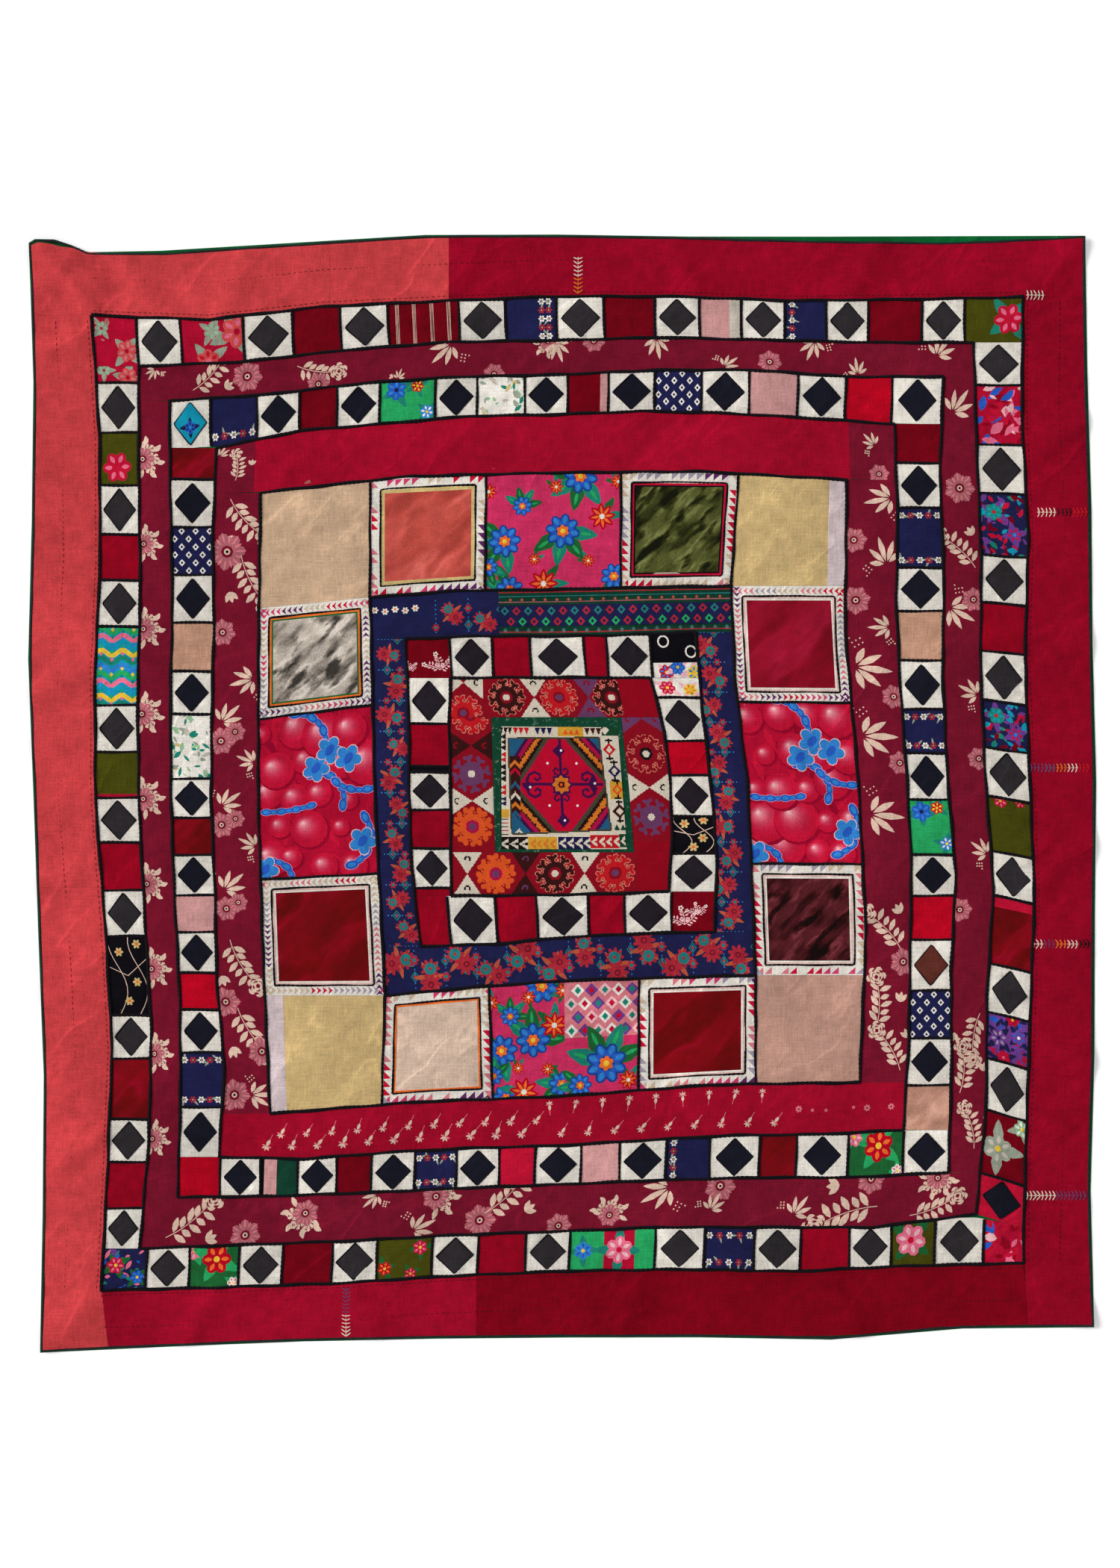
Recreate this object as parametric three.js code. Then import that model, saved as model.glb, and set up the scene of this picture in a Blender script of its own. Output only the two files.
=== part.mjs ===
// Patchwork suzani: a pieced wedding cover of square rings of cotton, velvet and silk
// round a cross-stitched panel, lying face up on a flat surface. Millimetres, +Z up.
// The origin is under the middle of the cloth's box, on the surface it lies on.

import * as THREE from "three";

// Thicknesses and small widths
const LINING_THICKNESS = 1.0;
const COTTON_THICKNESS = 1.5;
const VELVET_THICKNESS = 2.2;
const PANEL_THICKNESS = 2.0;
const BINDING_THICKNESS = 2.6;
const EDGE_CORD_WIDTH = 4.5;
const EDGE_CORD_HEIGHT = 3.4;
const SEAM_GAP = 0.3;
const LAYER_GAP = 0.4;

// The widest cell of each part's surface, along a band and across it
const BORDER_CELL = 62;
const BORDER_ROWS = 3;
const BAND_CELL = 92;
const BAND_ROWS = 2;
const BLOCK_CELL = 80;
const BLOCK_ROWS = 3;
const NARROW_ROWS = 1;
const PANEL_STEPS = [0, 0.5, 1];

const SIDES = ["top", "right", "bottom", "left"];

// The square seam lines, from the cloth's hem inwards. Each has its four corners as
// x, y, and for each side how far it bows outward at even steps between two corners.
// Top and bottom are read from left to right, left and right from top to bottom.
// The raised upper left corner bends more closely, so topStart holds shares of the top
// side there and their bows.
const SEAM_LINES = {
  hem: {
    topLeft: [-1064, 1098], topRight: [1045, 1113],
    bottomLeft: [-1042, -1118], bottomRight: [1063, -1067],
    topStart: [[0.006, 7.5], [0.024, 7], [0.038, -3], [0.054, -19]],
    top: [-20, -4, 11, 10, 4, -5, -10], right: [1, 7, 7, 12, 7, 4, -6],
    bottom: [-6, -10, -9, -5, 1, 12, -4], left: [-6, 0, 10, 2, -5, -13, -8],
  },
  border: {
    topLeft: [-944, 959], topRight: [926, 996],
    bottomLeft: [-925, -999], bottomRight: [926, -944],
    top: [-13, 9, 15, 20, 15, 2, 0], right: [-2, 11, 4, 14, 23, 14, 6],
    bottom: [1, 0, -8, -11, -8, 3, -1], left: [-13, -12, 1, 2, -15, -27, -15],
  },
  outerPatches: {
    topLeft: [-850, 857], topRight: [827, 905],
    bottomLeft: [-848, -915], bottomRight: [832, -846],
    top: [3, 21, 31, 28, 28, 17, 6], right: [6, 14, 12, 21, 37, 23, 21],
    bottom: [1, 2, -1, 0, 0, 9, 18], left: [0, -3, 3, 0, -11, -24, -19],
  },
  floral: {
    topLeft: [-788, 788], topRight: [766, 836],
    bottomLeft: [-772, -812], bottomRight: [776, -762],
    top: [6, 23, 30, 28, 31, 26, 6], right: [-8, -1, -5, 3, 19, 8, 8],
    bottom: [4, 3, 0, -1, -3, -2, 4], left: [0, -2, 4, 5, 0, -9, -8],
  },
  innerPatches: {
    topLeft: [-694, 693], topRight: [668, 741],
    bottomLeft: [-689, -731], bottomRight: [686, -677],
    top: [29, 37, 46, 43, 44, 34, 18], right: [4, -1, 5, 16, 23, 18, 13],
    bottom: [11, 4, 2, 4, 0, -3, 2], left: [8, 6, 11, 13, 6, 3, -12],
  },
  wide: {
    topLeft: [-605, 603], topRight: [572, 629],
    bottomLeft: [-586, -644], bottomRight: [598, -581],
    top: [26, 27, 23], right: [-10, 10, 19],
    bottom: [-8, -4, -11], left: [9, 14, 9],
  },
  blocks: {
    topLeft: [-385, 393], topRight: [340, 416],
    bottomLeft: [-355, -407], bottomRight: [389, -366],
    top: [8, 4, 3], right: [-4, 8, 5],
    bottom: [-7, -10, -5], left: [3, 6, 3],
  },
  blue: {
    topLeft: [-314, 309], topRight: [269, 323],
    bottomLeft: [-284, -308], bottomRight: [307, -279],
    top: [3, -1, -2], right: [3, 11, 14],
    bottom: [3, -4, -4], left: [1, 8, 10],
  },
  smallPatches: {
    topLeft: [-224, 231], topRight: [178, 231],
    bottomLeft: [-223, -207], bottomRight: [215, -198],
    top: [1, 1, 1], right: [19, 22, 16],
    bottom: [1, 2, 2], left: [3, 0, 0],
  },
  embroidered: {
    topLeft: [-142, 152], topRight: [119, 152],
    bottomLeft: [-134, -119], bottomRight: [145, -119],
    top: [0], right: [2], bottom: [0], left: [0],
  },
  panel: {
    topLeft: [-122, 134], topRight: [112, 132],
    bottomLeft: [-121, -113], bottomRight: [131, -113],
    top: [0], right: [2], bottom: [0], left: [1],
  },
};

// How far the lining shows past the edge cord, at the same steps as the hem's bows
const LINING_CORNER_SHOW = 2;
const LINING_SHOW = {
  top: [5, 3, 2, 2, 2, 9, 13], right: [3, 3, 3, 3, 3, 3, 3],
  bottom: [2, 2, 2, 2, 2, 2, 2], left: [2, 2, 2, 2, 2, 2, 2],
};
const LINING_STEPS_ACROSS = [0, 0.006, 0.012, 0.024, 0.038, 0.054, 0.075, 0.1];
const LINING_STEPS_BEYOND = 8;

// Where the border strips are pieced: x on the top and bottom, y on the left
const BORDER_CUTS = {
  top: [-466, -227],
  left: [490, -189, -328],
  bottom: [-172],
};
const BOTTOM_STRIP_ENDS = [-911, 937];

// Where the blocks meet, on their outer and on their inner seam
const BLOCK_CUTS = {
  top: [[-385, -385], [-152, -154], [119, 118], [355, 340]],
  right: [[181, 183], [-143, -142]],
  bottom: [[-362, -355], [-139, -146], [154, 155], [389, 389]],
  left: [[148, 177], [-174, -162]],
};

// How far some rings' sides start or end below the inner seam's corner
const BLOCK_DROPS = { leftStart: 22 };
const OUTER_PATCH_DROPS = { rightEnd: 28 };

// The main folds of the pieced top: a soft ridge from one point to another, its height
// and half width, and the share of the height at which the lining rises with it.
const FOLDS = [
  { from: [-1058, 1098], to: [-958, 1016], height: 15, width: 42, lining: 0.45 },
  { from: [-1039, 888], to: [-949, 933], height: 6, width: 24, lining: 0 },
  { from: [-1057, 633], to: [-952, 543], height: 5, width: 24, lining: 0 },
  { from: [-1061, 198], to: [-941, 258], height: 9, width: 28, lining: 0 },
  { from: [-1051, 93], to: [-946, 33], height: 8, width: 28, lining: 0 },
  { from: [-1054, -192], to: [-931, -132], height: 6, width: 24, lining: 0 },
  { from: [-1036, -402], to: [-910, -470], height: 7, width: 28, lining: 0 },
  { from: [-1033, -747], to: [-919, -687], height: 6, width: 24, lining: 0 },
  { from: [-1036, -1100], to: [-931, -1010], height: 9, width: 28, lining: 0 },
  { from: [-889, 1091], to: [-806, 978], height: 6, width: 24, lining: 0 },
  { from: [-634, 1091], to: [-679, 971], height: 5, width: 24, lining: 0 },
  { from: [-169, 1106], to: [-229, 1001], height: 5, width: 24, lining: 0 },
  { from: [221, 1106], to: [266, 1008], height: 5, width: 24, lining: 0 },
  { from: [641, 1106], to: [581, 1001], height: 6, width: 24, lining: 0 },
  { from: [1039, 1110], to: [935, 1005], height: 10, width: 30, lining: 0 },
  { from: [1054, 753], to: [941, 678], height: 5, width: 24, lining: 0 },
  { from: [1061, 303], to: [941, 243], height: 5, width: 24, lining: 0 },
  { from: [1064, -102], to: [956, -177], height: 7, width: 26, lining: 0 },
  { from: [1061, -537], to: [949, -477], height: 6, width: 24, lining: 0 },
  { from: [1061, -1062], to: [934, -950], height: 9, width: 28, lining: 0 },
  { from: [596, -1084], to: [521, -965], height: 6, width: 26, lining: 0 },
  { from: [116, -1084], to: [161, -965], height: 5, width: 24, lining: 0 },
  { from: [-379, -1084], to: [-424, -987], height: 5, width: 24, lining: 0 },
  { from: [-754, -1100], to: [-694, -995], height: 5, width: 24, lining: 0 },
  { from: [-790, 700], to: [-765, 200], height: 3, width: 40, lining: 0 },
  { from: [-559, 678], to: [-79, 708], height: 4, width: 32, lining: 0 },
  { from: [626, 543], to: [640, -207], height: 4, width: 36, lining: 0 },
  { from: [-484, -687], to: [371, -657], height: 3, width: 32, lining: 0 },
  { from: [-499, 573], to: [-409, 423], height: 4, width: 36, lining: 0 },
  { from: [386, -417], to: [551, -552], height: 4, width: 36, lining: 0 },
  { from: [-589, 93], to: [-424, -102], height: 3, width: 42, lining: 0 },
  { from: [431, 108], to: [536, -57], height: 3, width: 42, lining: 0 },
];

// The cloths, each with its colour, roughness and thickness
const CLOTHS = {
  lining: { colour: 0x0a5f2d, roughness: 0.9, thickness: LINING_THICKNESS },
  edgeCord: { colour: 0x14201a, roughness: 0.8, thickness: EDGE_CORD_HEIGHT },
  coral: { colour: 0xd44248, roughness: 0.85, thickness: COTTON_THICKNESS },
  red: { colour: 0xa50628, roughness: 0.85, thickness: COTTON_THICKNESS },
  crimson: { colour: 0xa50e2c, roughness: 0.85, thickness: COTTON_THICKNESS },
  darkRed: { colour: 0x820018, roughness: 0.85, thickness: COTTON_THICKNESS },
  patches: { colour: 0xded7cb, roughness: 0.85, thickness: COTTON_THICKNESS },
  burgundy: { colour: 0x7a0c2e, roughness: 0.85, thickness: COTTON_THICKNESS },
  silk: { colour: 0xd6b48a, roughness: 0.5, thickness: COTTON_THICKNESS },
  print: { colour: 0xcd2d5f, roughness: 0.85, thickness: COTTON_THICKNESS },
  coralVelvet: { colour: 0xcd503e, roughness: 0.7, thickness: VELVET_THICKNESS },
  greenVelvet: { colour: 0x465014, roughness: 0.6, thickness: VELVET_THICKNESS },
  greyVelvet: { colour: 0x9c968a, roughness: 0.6, thickness: VELVET_THICKNESS },
  redVelvet: { colour: 0x82000c, roughness: 0.6, thickness: VELVET_THICKNESS },
  blue: { colour: 0x20205c, roughness: 0.85, thickness: COTTON_THICKNESS },
  embroidery: { colour: 0x96101e, roughness: 0.8, thickness: PANEL_THICKNESS },
  binding: { colour: 0x0a3c28, roughness: 0.8, thickness: BINDING_THICKNESS },
};

// The cloth of each block, in the order in which the blocks are pieced
const BLOCK_CLOTHS = {
  top: ["silk", "coralVelvet", "print", "greenVelvet", "silk"],
  right: ["redVelvet", "print", "redVelvet"],
  bottom: ["silk", "silk", "print", "redVelvet", "silk"],
  left: ["greyVelvet", "print", "redVelvet"],
};

const mix = (a, b, share) => a + (b - a) * share;
const mixPoint = (a, b, share) => [mix(a[0], b[0], share), mix(a[1], b[1], share)];

// The shares of a seam line's side at which it bends, each with its bow
function sideBows(seam, side) {
  const bows = [0, ...seam[side], 0];
  const steps = bows.map((bow, step) => [step / (bows.length - 1), bow]);
  if (side === "top" && seam.topStart) steps.splice(1, 0, ...seam.topStart);
  return steps;
}

// A side of a seam line as points, from its first corner to its second
function sidePoints(seam, side) {
  const corners = {
    top: [seam.topLeft, seam.topRight],
    bottom: [seam.bottomLeft, seam.bottomRight],
    left: [seam.topLeft, seam.bottomLeft],
    right: [seam.topRight, seam.bottomRight],
  };
  const outward = { top: [0, 1], bottom: [0, -1], left: [-1, 0], right: [1, 0] };
  const [first, last] = corners[side];
  return sideBows(seam, side).map(([share, bow]) => {
    const [x, y] = mixPoint(first, last, share);
    return [x + outward[side][0] * bow, y + outward[side][1] * bow];
  });
}

// A seam line moved outward: by one distance at its corners, by its own at each step
function widened(seam, cornerReach, stepReach) {
  const moved = {
    topLeft: [seam.topLeft[0] - cornerReach, seam.topLeft[1] + cornerReach],
    topRight: [seam.topRight[0] + cornerReach, seam.topRight[1] + cornerReach],
    bottomLeft: [seam.bottomLeft[0] - cornerReach, seam.bottomLeft[1] - cornerReach],
    bottomRight: [seam.bottomRight[0] + cornerReach, seam.bottomRight[1] - cornerReach],
    topStart: seam.topStart,
  };
  for (const side of SIDES) {
    moved[side] = seam[side].map((bow, step) => bow + stepReach(side, step) - cornerReach);
  }
  return moved;
}

// A run of points that can be asked for the place at a given x (axis 0) or y (axis 1)
class Run {
  constructor(points, axis) {
    this.points = points;
    this.axis = axis;
  }

  at(value) {
    const { points, axis } = this;
    const rising = points[points.length - 1][axis] > points[0][axis];
    let step = 0;
    while (step < points.length - 2) {
      const next = points[step + 1][axis];
      if (rising ? value <= next : value >= next) break;
      step += 1;
    }
    const [a, b] = [points[step], points[step + 1]];
    return mixPoint(a, b, (value - a[axis]) / (b[axis] - a[axis]));
  }

  get first() {
    return this.points[0][this.axis];
  }

  get last() {
    return this.points[this.points.length - 1][this.axis];
  }
}

// The height of the folds over a point. The lining rises only with some of them.
function foldLift(x, y, ofLining) {
  let lift = 0;
  for (const fold of FOLDS) {
    const share = ofLining ? fold.lining : 1;
    if (share === 0) continue;
    const along = [fold.to[0] - fold.from[0], fold.to[1] - fold.from[1]];
    const away = [x - fold.from[0], y - fold.from[1]];
    const length2 = along[0] ** 2 + along[1] ** 2;
    const place = THREE.MathUtils.clamp((away[0] * along[0] + away[1] * along[1]) / length2, 0, 1);
    const gap2 = (away[0] - along[0] * place) ** 2 + (away[1] - along[1] * place) ** 2;
    lift += fold.height * share * Math.exp(-gap2 / fold.width ** 2);
  }
  return lift;
}

// Draws the rim of a grid in by half a seam's gap
function drawnIn(grid, closed) {
  const lastColumn = grid.length - 1;
  const lastRow = grid[0].length - 1;
  const inset = SEAM_GAP / 2;
  const step = (from, towards) => {
    const reach = Math.hypot(towards[0] - from[0], towards[1] - from[1]);
    return [((towards[0] - from[0]) / reach) * inset, ((towards[1] - from[1]) / reach) * inset];
  };
  return grid.map((column, i) => column.map((point, j) => {
    const moves = [];
    if (!closed && i === 0) moves.push(step(point, grid[1][j]));
    if (!closed && i === lastColumn) moves.push(step(point, grid[lastColumn - 1][j]));
    if (j === 0) moves.push(step(point, column[1]));
    if (j === lastRow) moves.push(step(point, column[lastRow - 1]));
    return moves.reduce((sum, move) => [sum[0] + move[0], sum[1] + move[1]], point);
  }));
}

// A sheet of cloth as a closed solid, from a grid of plan points. A closed grid's last
// column is joined to its first.
function sheetGeometry(plan, base, thickness, { ofLining = false, closed = false } = {}) {
  const grid = drawnIn(plan, closed);
  const columns = grid.length;
  const rows = grid[0].length;
  const positions = [];
  for (const level of [0, thickness]) {
    for (const column of grid) {
      for (const [x, y] of column) positions.push(x, y, base + level + foldLift(x, y, ofLining));
    }
  }
  const under = (i, j) => (i % columns) * rows + j;
  const over = (i, j) => columns * rows + under(i, j);
  const [a, b, c] = [grid[0][0], grid[1][0], grid[0][1]];
  const turn = (b[0] - a[0]) * (c[1] - a[1]) - (b[1] - a[1]) * (c[0] - a[0]);
  const index = [];
  const quad = (p, q, r, s) => {
    if (turn > 0) index.push(p, q, r, p, r, s);
    else index.push(p, r, q, p, s, r);
  };
  const lastColumn = closed ? columns : columns - 1;
  for (let i = 0; i < lastColumn; i += 1) {
    for (let j = 0; j < rows - 1; j += 1) {
      quad(over(i, j), over(i + 1, j), over(i + 1, j + 1), over(i, j + 1));
      quad(under(i, j), under(i, j + 1), under(i + 1, j + 1), under(i + 1, j));
    }
    quad(under(i, 0), under(i + 1, 0), over(i + 1, 0), over(i, 0));
    quad(under(i + 1, rows - 1), under(i, rows - 1), over(i, rows - 1), over(i + 1, rows - 1));
  }
  for (let j = 0; j < rows - 1 && !closed; j += 1) {
    quad(under(0, j + 1), under(0, j), over(0, j), over(0, j + 1));
    quad(under(lastColumn, j), under(lastColumn, j + 1), over(lastColumn, j + 1), over(lastColumn, j));
  }
  const geometry = new THREE.BufferGeometry();
  geometry.setAttribute("position", new THREE.Float32BufferAttribute(positions, 3));
  geometry.setIndex(index);
  geometry.computeVertexNormals();
  return geometry;
}

const suzani = new THREE.Group();
const TOP_BASE = LINING_THICKNESS + LAYER_GAP;

function addSheet(name, cloth, plan, options = {}) {
  const { colour, roughness, thickness } = CLOTHS[cloth];
  const base = options.ofLining ? 0 : TOP_BASE;
  const material = new THREE.MeshStandardMaterial({ color: colour, roughness, metalness: 0 });
  const mesh = new THREE.Mesh(sheetGeometry(plan, base, thickness, options), material);
  mesh.name = name;
  suzani.add(mesh);
}

// The shares along a plate at which it has columns: at every bend of its two seams, and
// often enough that no cell is longer than asked.
function columnShares(outer, inner, outerEnds, innerEnds, cell) {
  const shares = [0, 1];
  for (const [run, [start, end]] of [[outer, outerEnds], [inner, innerEnds]]) {
    for (const point of run.points) shares.push((point[run.axis] - start) / (end - start));
  }
  const length = Math.abs(outerEnds[1] - outerEnds[0]);
  const shortest = 2 / length;
  const kept = shares.filter((share) => share >= 0 && share <= 1).sort((a, b) => a - b)
    .filter((share, place, all) => place === 0 || share - all[place - 1] > shortest);
  kept[kept.length - 1] = 1;
  const filled = [0];
  for (let place = 1; place < kept.length; place += 1) {
    const gap = kept[place] - kept[place - 1];
    const steps = Math.ceil((gap * length) / cell);
    for (let step = 1; step <= steps; step += 1) filled.push(kept[place - 1] + (gap * step) / steps);
  }
  return filled;
}

// The plan of a plate between two seams, cut off at the given places on each
function platePlan(outer, inner, outerEnds, innerEnds, cell, rows) {
  return columnShares(outer, inner, outerEnds, innerEnds, cell).map((share) => {
    const outside = outer.at(mix(...outerEnds, share));
    const inside = inner.at(mix(...innerEnds, share));
    return Array.from({ length: rows + 1 }, (_, row) => mixPoint(outside, inside, row / rows));
  });
}

// The two seams of each side of a ring. Top and bottom reach across the ring's corners,
// and the left and right sides run between them.
function ringSides(outerSeam, innerSeam, { leftStart = 0, rightEnd = 0 } = {}) {
  const outer = Object.fromEntries(SIDES.map((side) => [side, sidePoints(outerSeam, side)]));
  const inner = Object.fromEntries(SIDES.map((side) => [side, sidePoints(innerSeam, side)]));
  const left = new Run(outer.left, 1);
  const right = new Run(outer.right, 1);
  const leftEnds = [innerSeam.topLeft[1] - leftStart, innerSeam.bottomLeft[1]];
  const rightEnds = [innerSeam.topRight[1], innerSeam.bottomRight[1] - rightEnd];
  const across = (side, end) => ({
    outer: new Run(outer[side], 0),
    inner: new Run([left.at(leftEnds[end]), ...inner[side], right.at(rightEnds[end])], 0),
  });
  const down = (run, points, ends) => ({ outer: run, inner: new Run(points, 1), outerEnds: ends });
  return {
    top: across("top", 0),
    bottom: across("bottom", 1),
    left: down(left, inner.left, leftEnds),
    right: down(right, inner.right, rightEnds),
  };
}

const endsOf = (run) => [run.first, run.last];

// The lining: one cloth under everything
function buildLining() {
  const reach = (side, step) => EDGE_CORD_WIDTH + LINING_SHOW[side][step];
  const outline = widened(SEAM_LINES.hem, EDGE_CORD_WIDTH + LINING_CORNER_SHOW, reach);
  const edge = Object.fromEntries(SIDES.map((side) => [side, sidePoints(outline, side)]));
  const at = (side, share) => {
    const shares = sideBows(outline, side).map(([bend]) => bend);
    let step = 0;
    while (step < shares.length - 2 && share > shares[step + 1]) step += 1;
    const place = (share - shares[step]) / (shares[step + 1] - shares[step]);
    return mixPoint(edge[side][step], edge[side][step + 1], place);
  };
  const beyond = Array.from({ length: LINING_STEPS_BEYOND }, (_, i) => (i + 1) / LINING_STEPS_BEYOND);
  const steps = [...LINING_STEPS_ACROSS, ...beyond];
  const plan = steps.map((u) => steps.map((v) => {
    const level = mixPoint(at("top", u), at("bottom", u), v);
    const upright = mixPoint(at("left", v), at("right", v), u);
    const flat = mixPoint(
      mixPoint(outline.topLeft, outline.topRight, u),
      mixPoint(outline.bottomLeft, outline.bottomRight, u),
      v,
    );
    return [level[0] + upright[0] - flat[0], level[1] + upright[1] - flat[1]];
  }));
  addSheet("lining", "lining", plan, { ofLining: true });
  return edge;
}

// The cord round the hem, in two runs that meet at the bottom left and top right corners
function buildEdgeBinding() {
  const outline = widened(SEAM_LINES.hem, EDGE_CORD_WIDTH, () => EDGE_CORD_WIDTH);
  const runs = { edge_binding_upper: ["left", "top"], edge_binding_lower: ["bottom", "right"] };
  for (const [name, [first, second]] of Object.entries(runs)) {
    const path = (seam) => {
      const start = sidePoints(seam, first);
      const rest = sidePoints(seam, second);
      if (first === "left") start.reverse();
      else rest.reverse();
      return [...start.slice(0, -1), ...rest];
    };
    const outside = path(outline);
    const plan = path(SEAM_LINES.hem).map((point, step) => [outside[step], point]);
    addSheet(name, "edgeCord", plan);
  }
}

// The border strips between the hem and the outer patches
function buildBorder() {
  const { hem, border } = SEAM_LINES;
  const sides = ringSides(hem, border);
  const strips = (side, cuts, outerEnds, innerEnds, cloths) => {
    const { outer, inner } = sides[side];
    const outerCuts = [outerEnds[0], ...cuts, outerEnds[1]];
    const innerCuts = [innerEnds[0], ...cuts, innerEnds[1]];
    cloths.forEach((cloth, place) => {
      const plan = platePlan(
        outer, inner, outerCuts.slice(place, place + 2), innerCuts.slice(place, place + 2),
        BORDER_CELL, BORDER_ROWS,
      );
      const number = cloths.length > 1 ? `_${place + 1}` : "";
      addSheet(`border_${side}${number}`, cloth, plan);
    });
  };
  const hemBottom = new Run(sidePoints(hem, "bottom"), 0);
  for (const [side, end] of [["left", 0], ["right", 1]]) {
    const corner = hemBottom.at(BOTTOM_STRIP_ENDS[end]);
    const seam = sides[side].inner.points;
    sides[side] = { ...sides[side], inner: new Run([...seam, corner], 1) };
  }
  sides.bottom.inner = new Run(sidePoints(border, "bottom"), 0);

  const { top, right, bottom, left } = sides;
  strips("top", BORDER_CUTS.top, endsOf(top.outer), endsOf(top.inner), ["coral", "coral", "red"]);
  strips("right", [], [border.topRight[1], hem.bottomRight[1]], endsOf(right.inner), ["red"]);
  strips("bottom", BORDER_CUTS.bottom, BOTTOM_STRIP_ENDS, endsOf(bottom.inner), ["crimson", "darkRed"]);
  strips(
    "left", BORDER_CUTS.left, [border.topLeft[1], hem.bottomLeft[1]], endsOf(left.inner),
    ["coral", "coral", "coral", "coral"],
  );
}

// A ring of four bands between two seam lines
function buildRing(name, outerSeam, innerSeam, cloths, rows, drops = {}) {
  const sides = ringSides(SEAM_LINES[outerSeam], SEAM_LINES[innerSeam], drops);
  SIDES.forEach((side, place) => {
    const { outer, inner, outerEnds } = sides[side];
    const plan = platePlan(outer, inner, outerEnds ?? endsOf(outer), endsOf(inner), BAND_CELL, rows);
    addSheet(`${name}_${side}`, cloths[place], plan);
  });
}

// The ring of blocks: five across the top and bottom, three down each side
function buildBlocks() {
  const sides = ringSides(SEAM_LINES.wide, SEAM_LINES.blocks, BLOCK_DROPS);
  for (const side of SIDES) {
    const { outer, inner, outerEnds } = sides[side];
    const [outerStart, outerEnd] = outerEnds ?? endsOf(outer);
    const [innerStart, innerEnd] = endsOf(inner);
    const cuts = [[outerStart, innerStart], ...BLOCK_CUTS[side], [outerEnd, innerEnd]];
    BLOCK_CLOTHS[side].forEach((cloth, place) => {
      const [start, end] = cuts.slice(place, place + 2);
      const plan = platePlan(outer, inner, [start[0], end[0]], [start[1], end[1]], BLOCK_CELL, BLOCK_ROWS);
      addSheet(`block_${side}_${place + 1}`, cloth, plan);
    });
  }
}

// The green frame sewn round the centre panel
function buildCentreBinding() {
  const loop = (seam) => {
    const right = sidePoints(seam, "right");
    const bottom = sidePoints(seam, "bottom").reverse();
    const left = sidePoints(seam, "left").reverse();
    const sides = [sidePoints(seam, "top"), right, bottom, left];
    return sides.flatMap((points) => points.slice(0, -1));
  };
  const inside = loop(SEAM_LINES.panel);
  const plan = loop(SEAM_LINES.embroidered).map((point, step) => [point, inside[step]]);
  addSheet("centre_binding", "binding", plan, { closed: true });
}

// The cross-stitched square in the middle
function buildCentrePanel() {
  const seam = SEAM_LINES.panel;
  const left = sidePoints(seam, "left");
  const right = sidePoints(seam, "right");
  const columns = PANEL_STEPS.map((share) => left.map((point, row) => mixPoint(point, right[row], share)));
  addSheet("centre_panel", "embroidery", columns);
}

const edge = buildLining();
buildEdgeBinding();
buildBorder();
const allOf = (cloth) => SIDES.map(() => cloth);
buildRing("outer_patches", "border", "outerPatches", allOf("patches"), BAND_ROWS, OUTER_PATCH_DROPS);
buildRing("floral_band", "outerPatches", "floral", allOf("burgundy"), BAND_ROWS);
buildRing("inner_patches", "floral", "innerPatches", allOf("patches"), BAND_ROWS);
buildRing("wide_band", "innerPatches", "wide", ["crimson", "burgundy", "crimson", "burgundy"], BAND_ROWS);
buildBlocks();
buildRing("blue_band", "blocks", "blue", allOf("blue"), NARROW_ROWS);
buildRing("small_patches", "blue", "smallPatches", allOf("patches"), NARROW_ROWS);
buildRing("embroidered_band", "smallPatches", "embroidered", allOf("embroidery"), NARROW_ROWS);
buildCentreBinding();
buildCentrePanel();

// The origin goes under the middle of the lining's box
const across = Object.values(edge).flat().map((point) => point[0]);
const upward = Object.values(edge).flat().map((point) => point[1]);
suzani.position.set(
  -(Math.min(...across) + Math.max(...across)) / 2,
  -(Math.min(...upward) + Math.max(...upward)) / 2,
  0,
);

export default suzani;
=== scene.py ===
"""Patchwork suzani: the looks of the cover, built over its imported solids.

The file is laid out as a Blender add-on and is run as a script. Plans are worked out in
millimetres in each piece's own rectangle, then laid on the frame's seams in metres.
"""

import math
import random

import bpy
import numpy as np
from bpy.props import FloatProperty, FloatVectorProperty
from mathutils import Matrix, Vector, noise
from mathutils.geometry import delaunay_2d_cdt


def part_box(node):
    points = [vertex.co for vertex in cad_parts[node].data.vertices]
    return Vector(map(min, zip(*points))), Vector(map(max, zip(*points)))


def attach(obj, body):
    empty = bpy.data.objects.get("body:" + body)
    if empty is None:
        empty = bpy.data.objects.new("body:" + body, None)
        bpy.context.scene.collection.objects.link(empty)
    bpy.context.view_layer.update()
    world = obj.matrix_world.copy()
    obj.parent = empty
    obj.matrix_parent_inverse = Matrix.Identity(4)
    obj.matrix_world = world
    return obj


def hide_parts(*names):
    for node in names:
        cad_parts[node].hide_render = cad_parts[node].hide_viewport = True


bl_info = {
    "name": "Patchwork suzani",
    "version": (1, 0, 0),
    "blender": (4, 5, 0),
    "location": "View3D > Sidebar > Suzani",
    "description": "Cloths, cords, stitches and beads of a patchwork suzani",
    "category": "Object",
}

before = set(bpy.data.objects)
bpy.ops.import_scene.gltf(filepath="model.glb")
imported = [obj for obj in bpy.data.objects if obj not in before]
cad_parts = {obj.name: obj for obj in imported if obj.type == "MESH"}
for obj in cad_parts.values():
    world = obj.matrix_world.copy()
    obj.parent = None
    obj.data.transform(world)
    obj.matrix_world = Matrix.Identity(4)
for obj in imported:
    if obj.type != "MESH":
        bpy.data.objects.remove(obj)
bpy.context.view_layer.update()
MM = 0.001
BODY = "root"
SIDES = ("top", "right", "bottom", "left")

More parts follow.
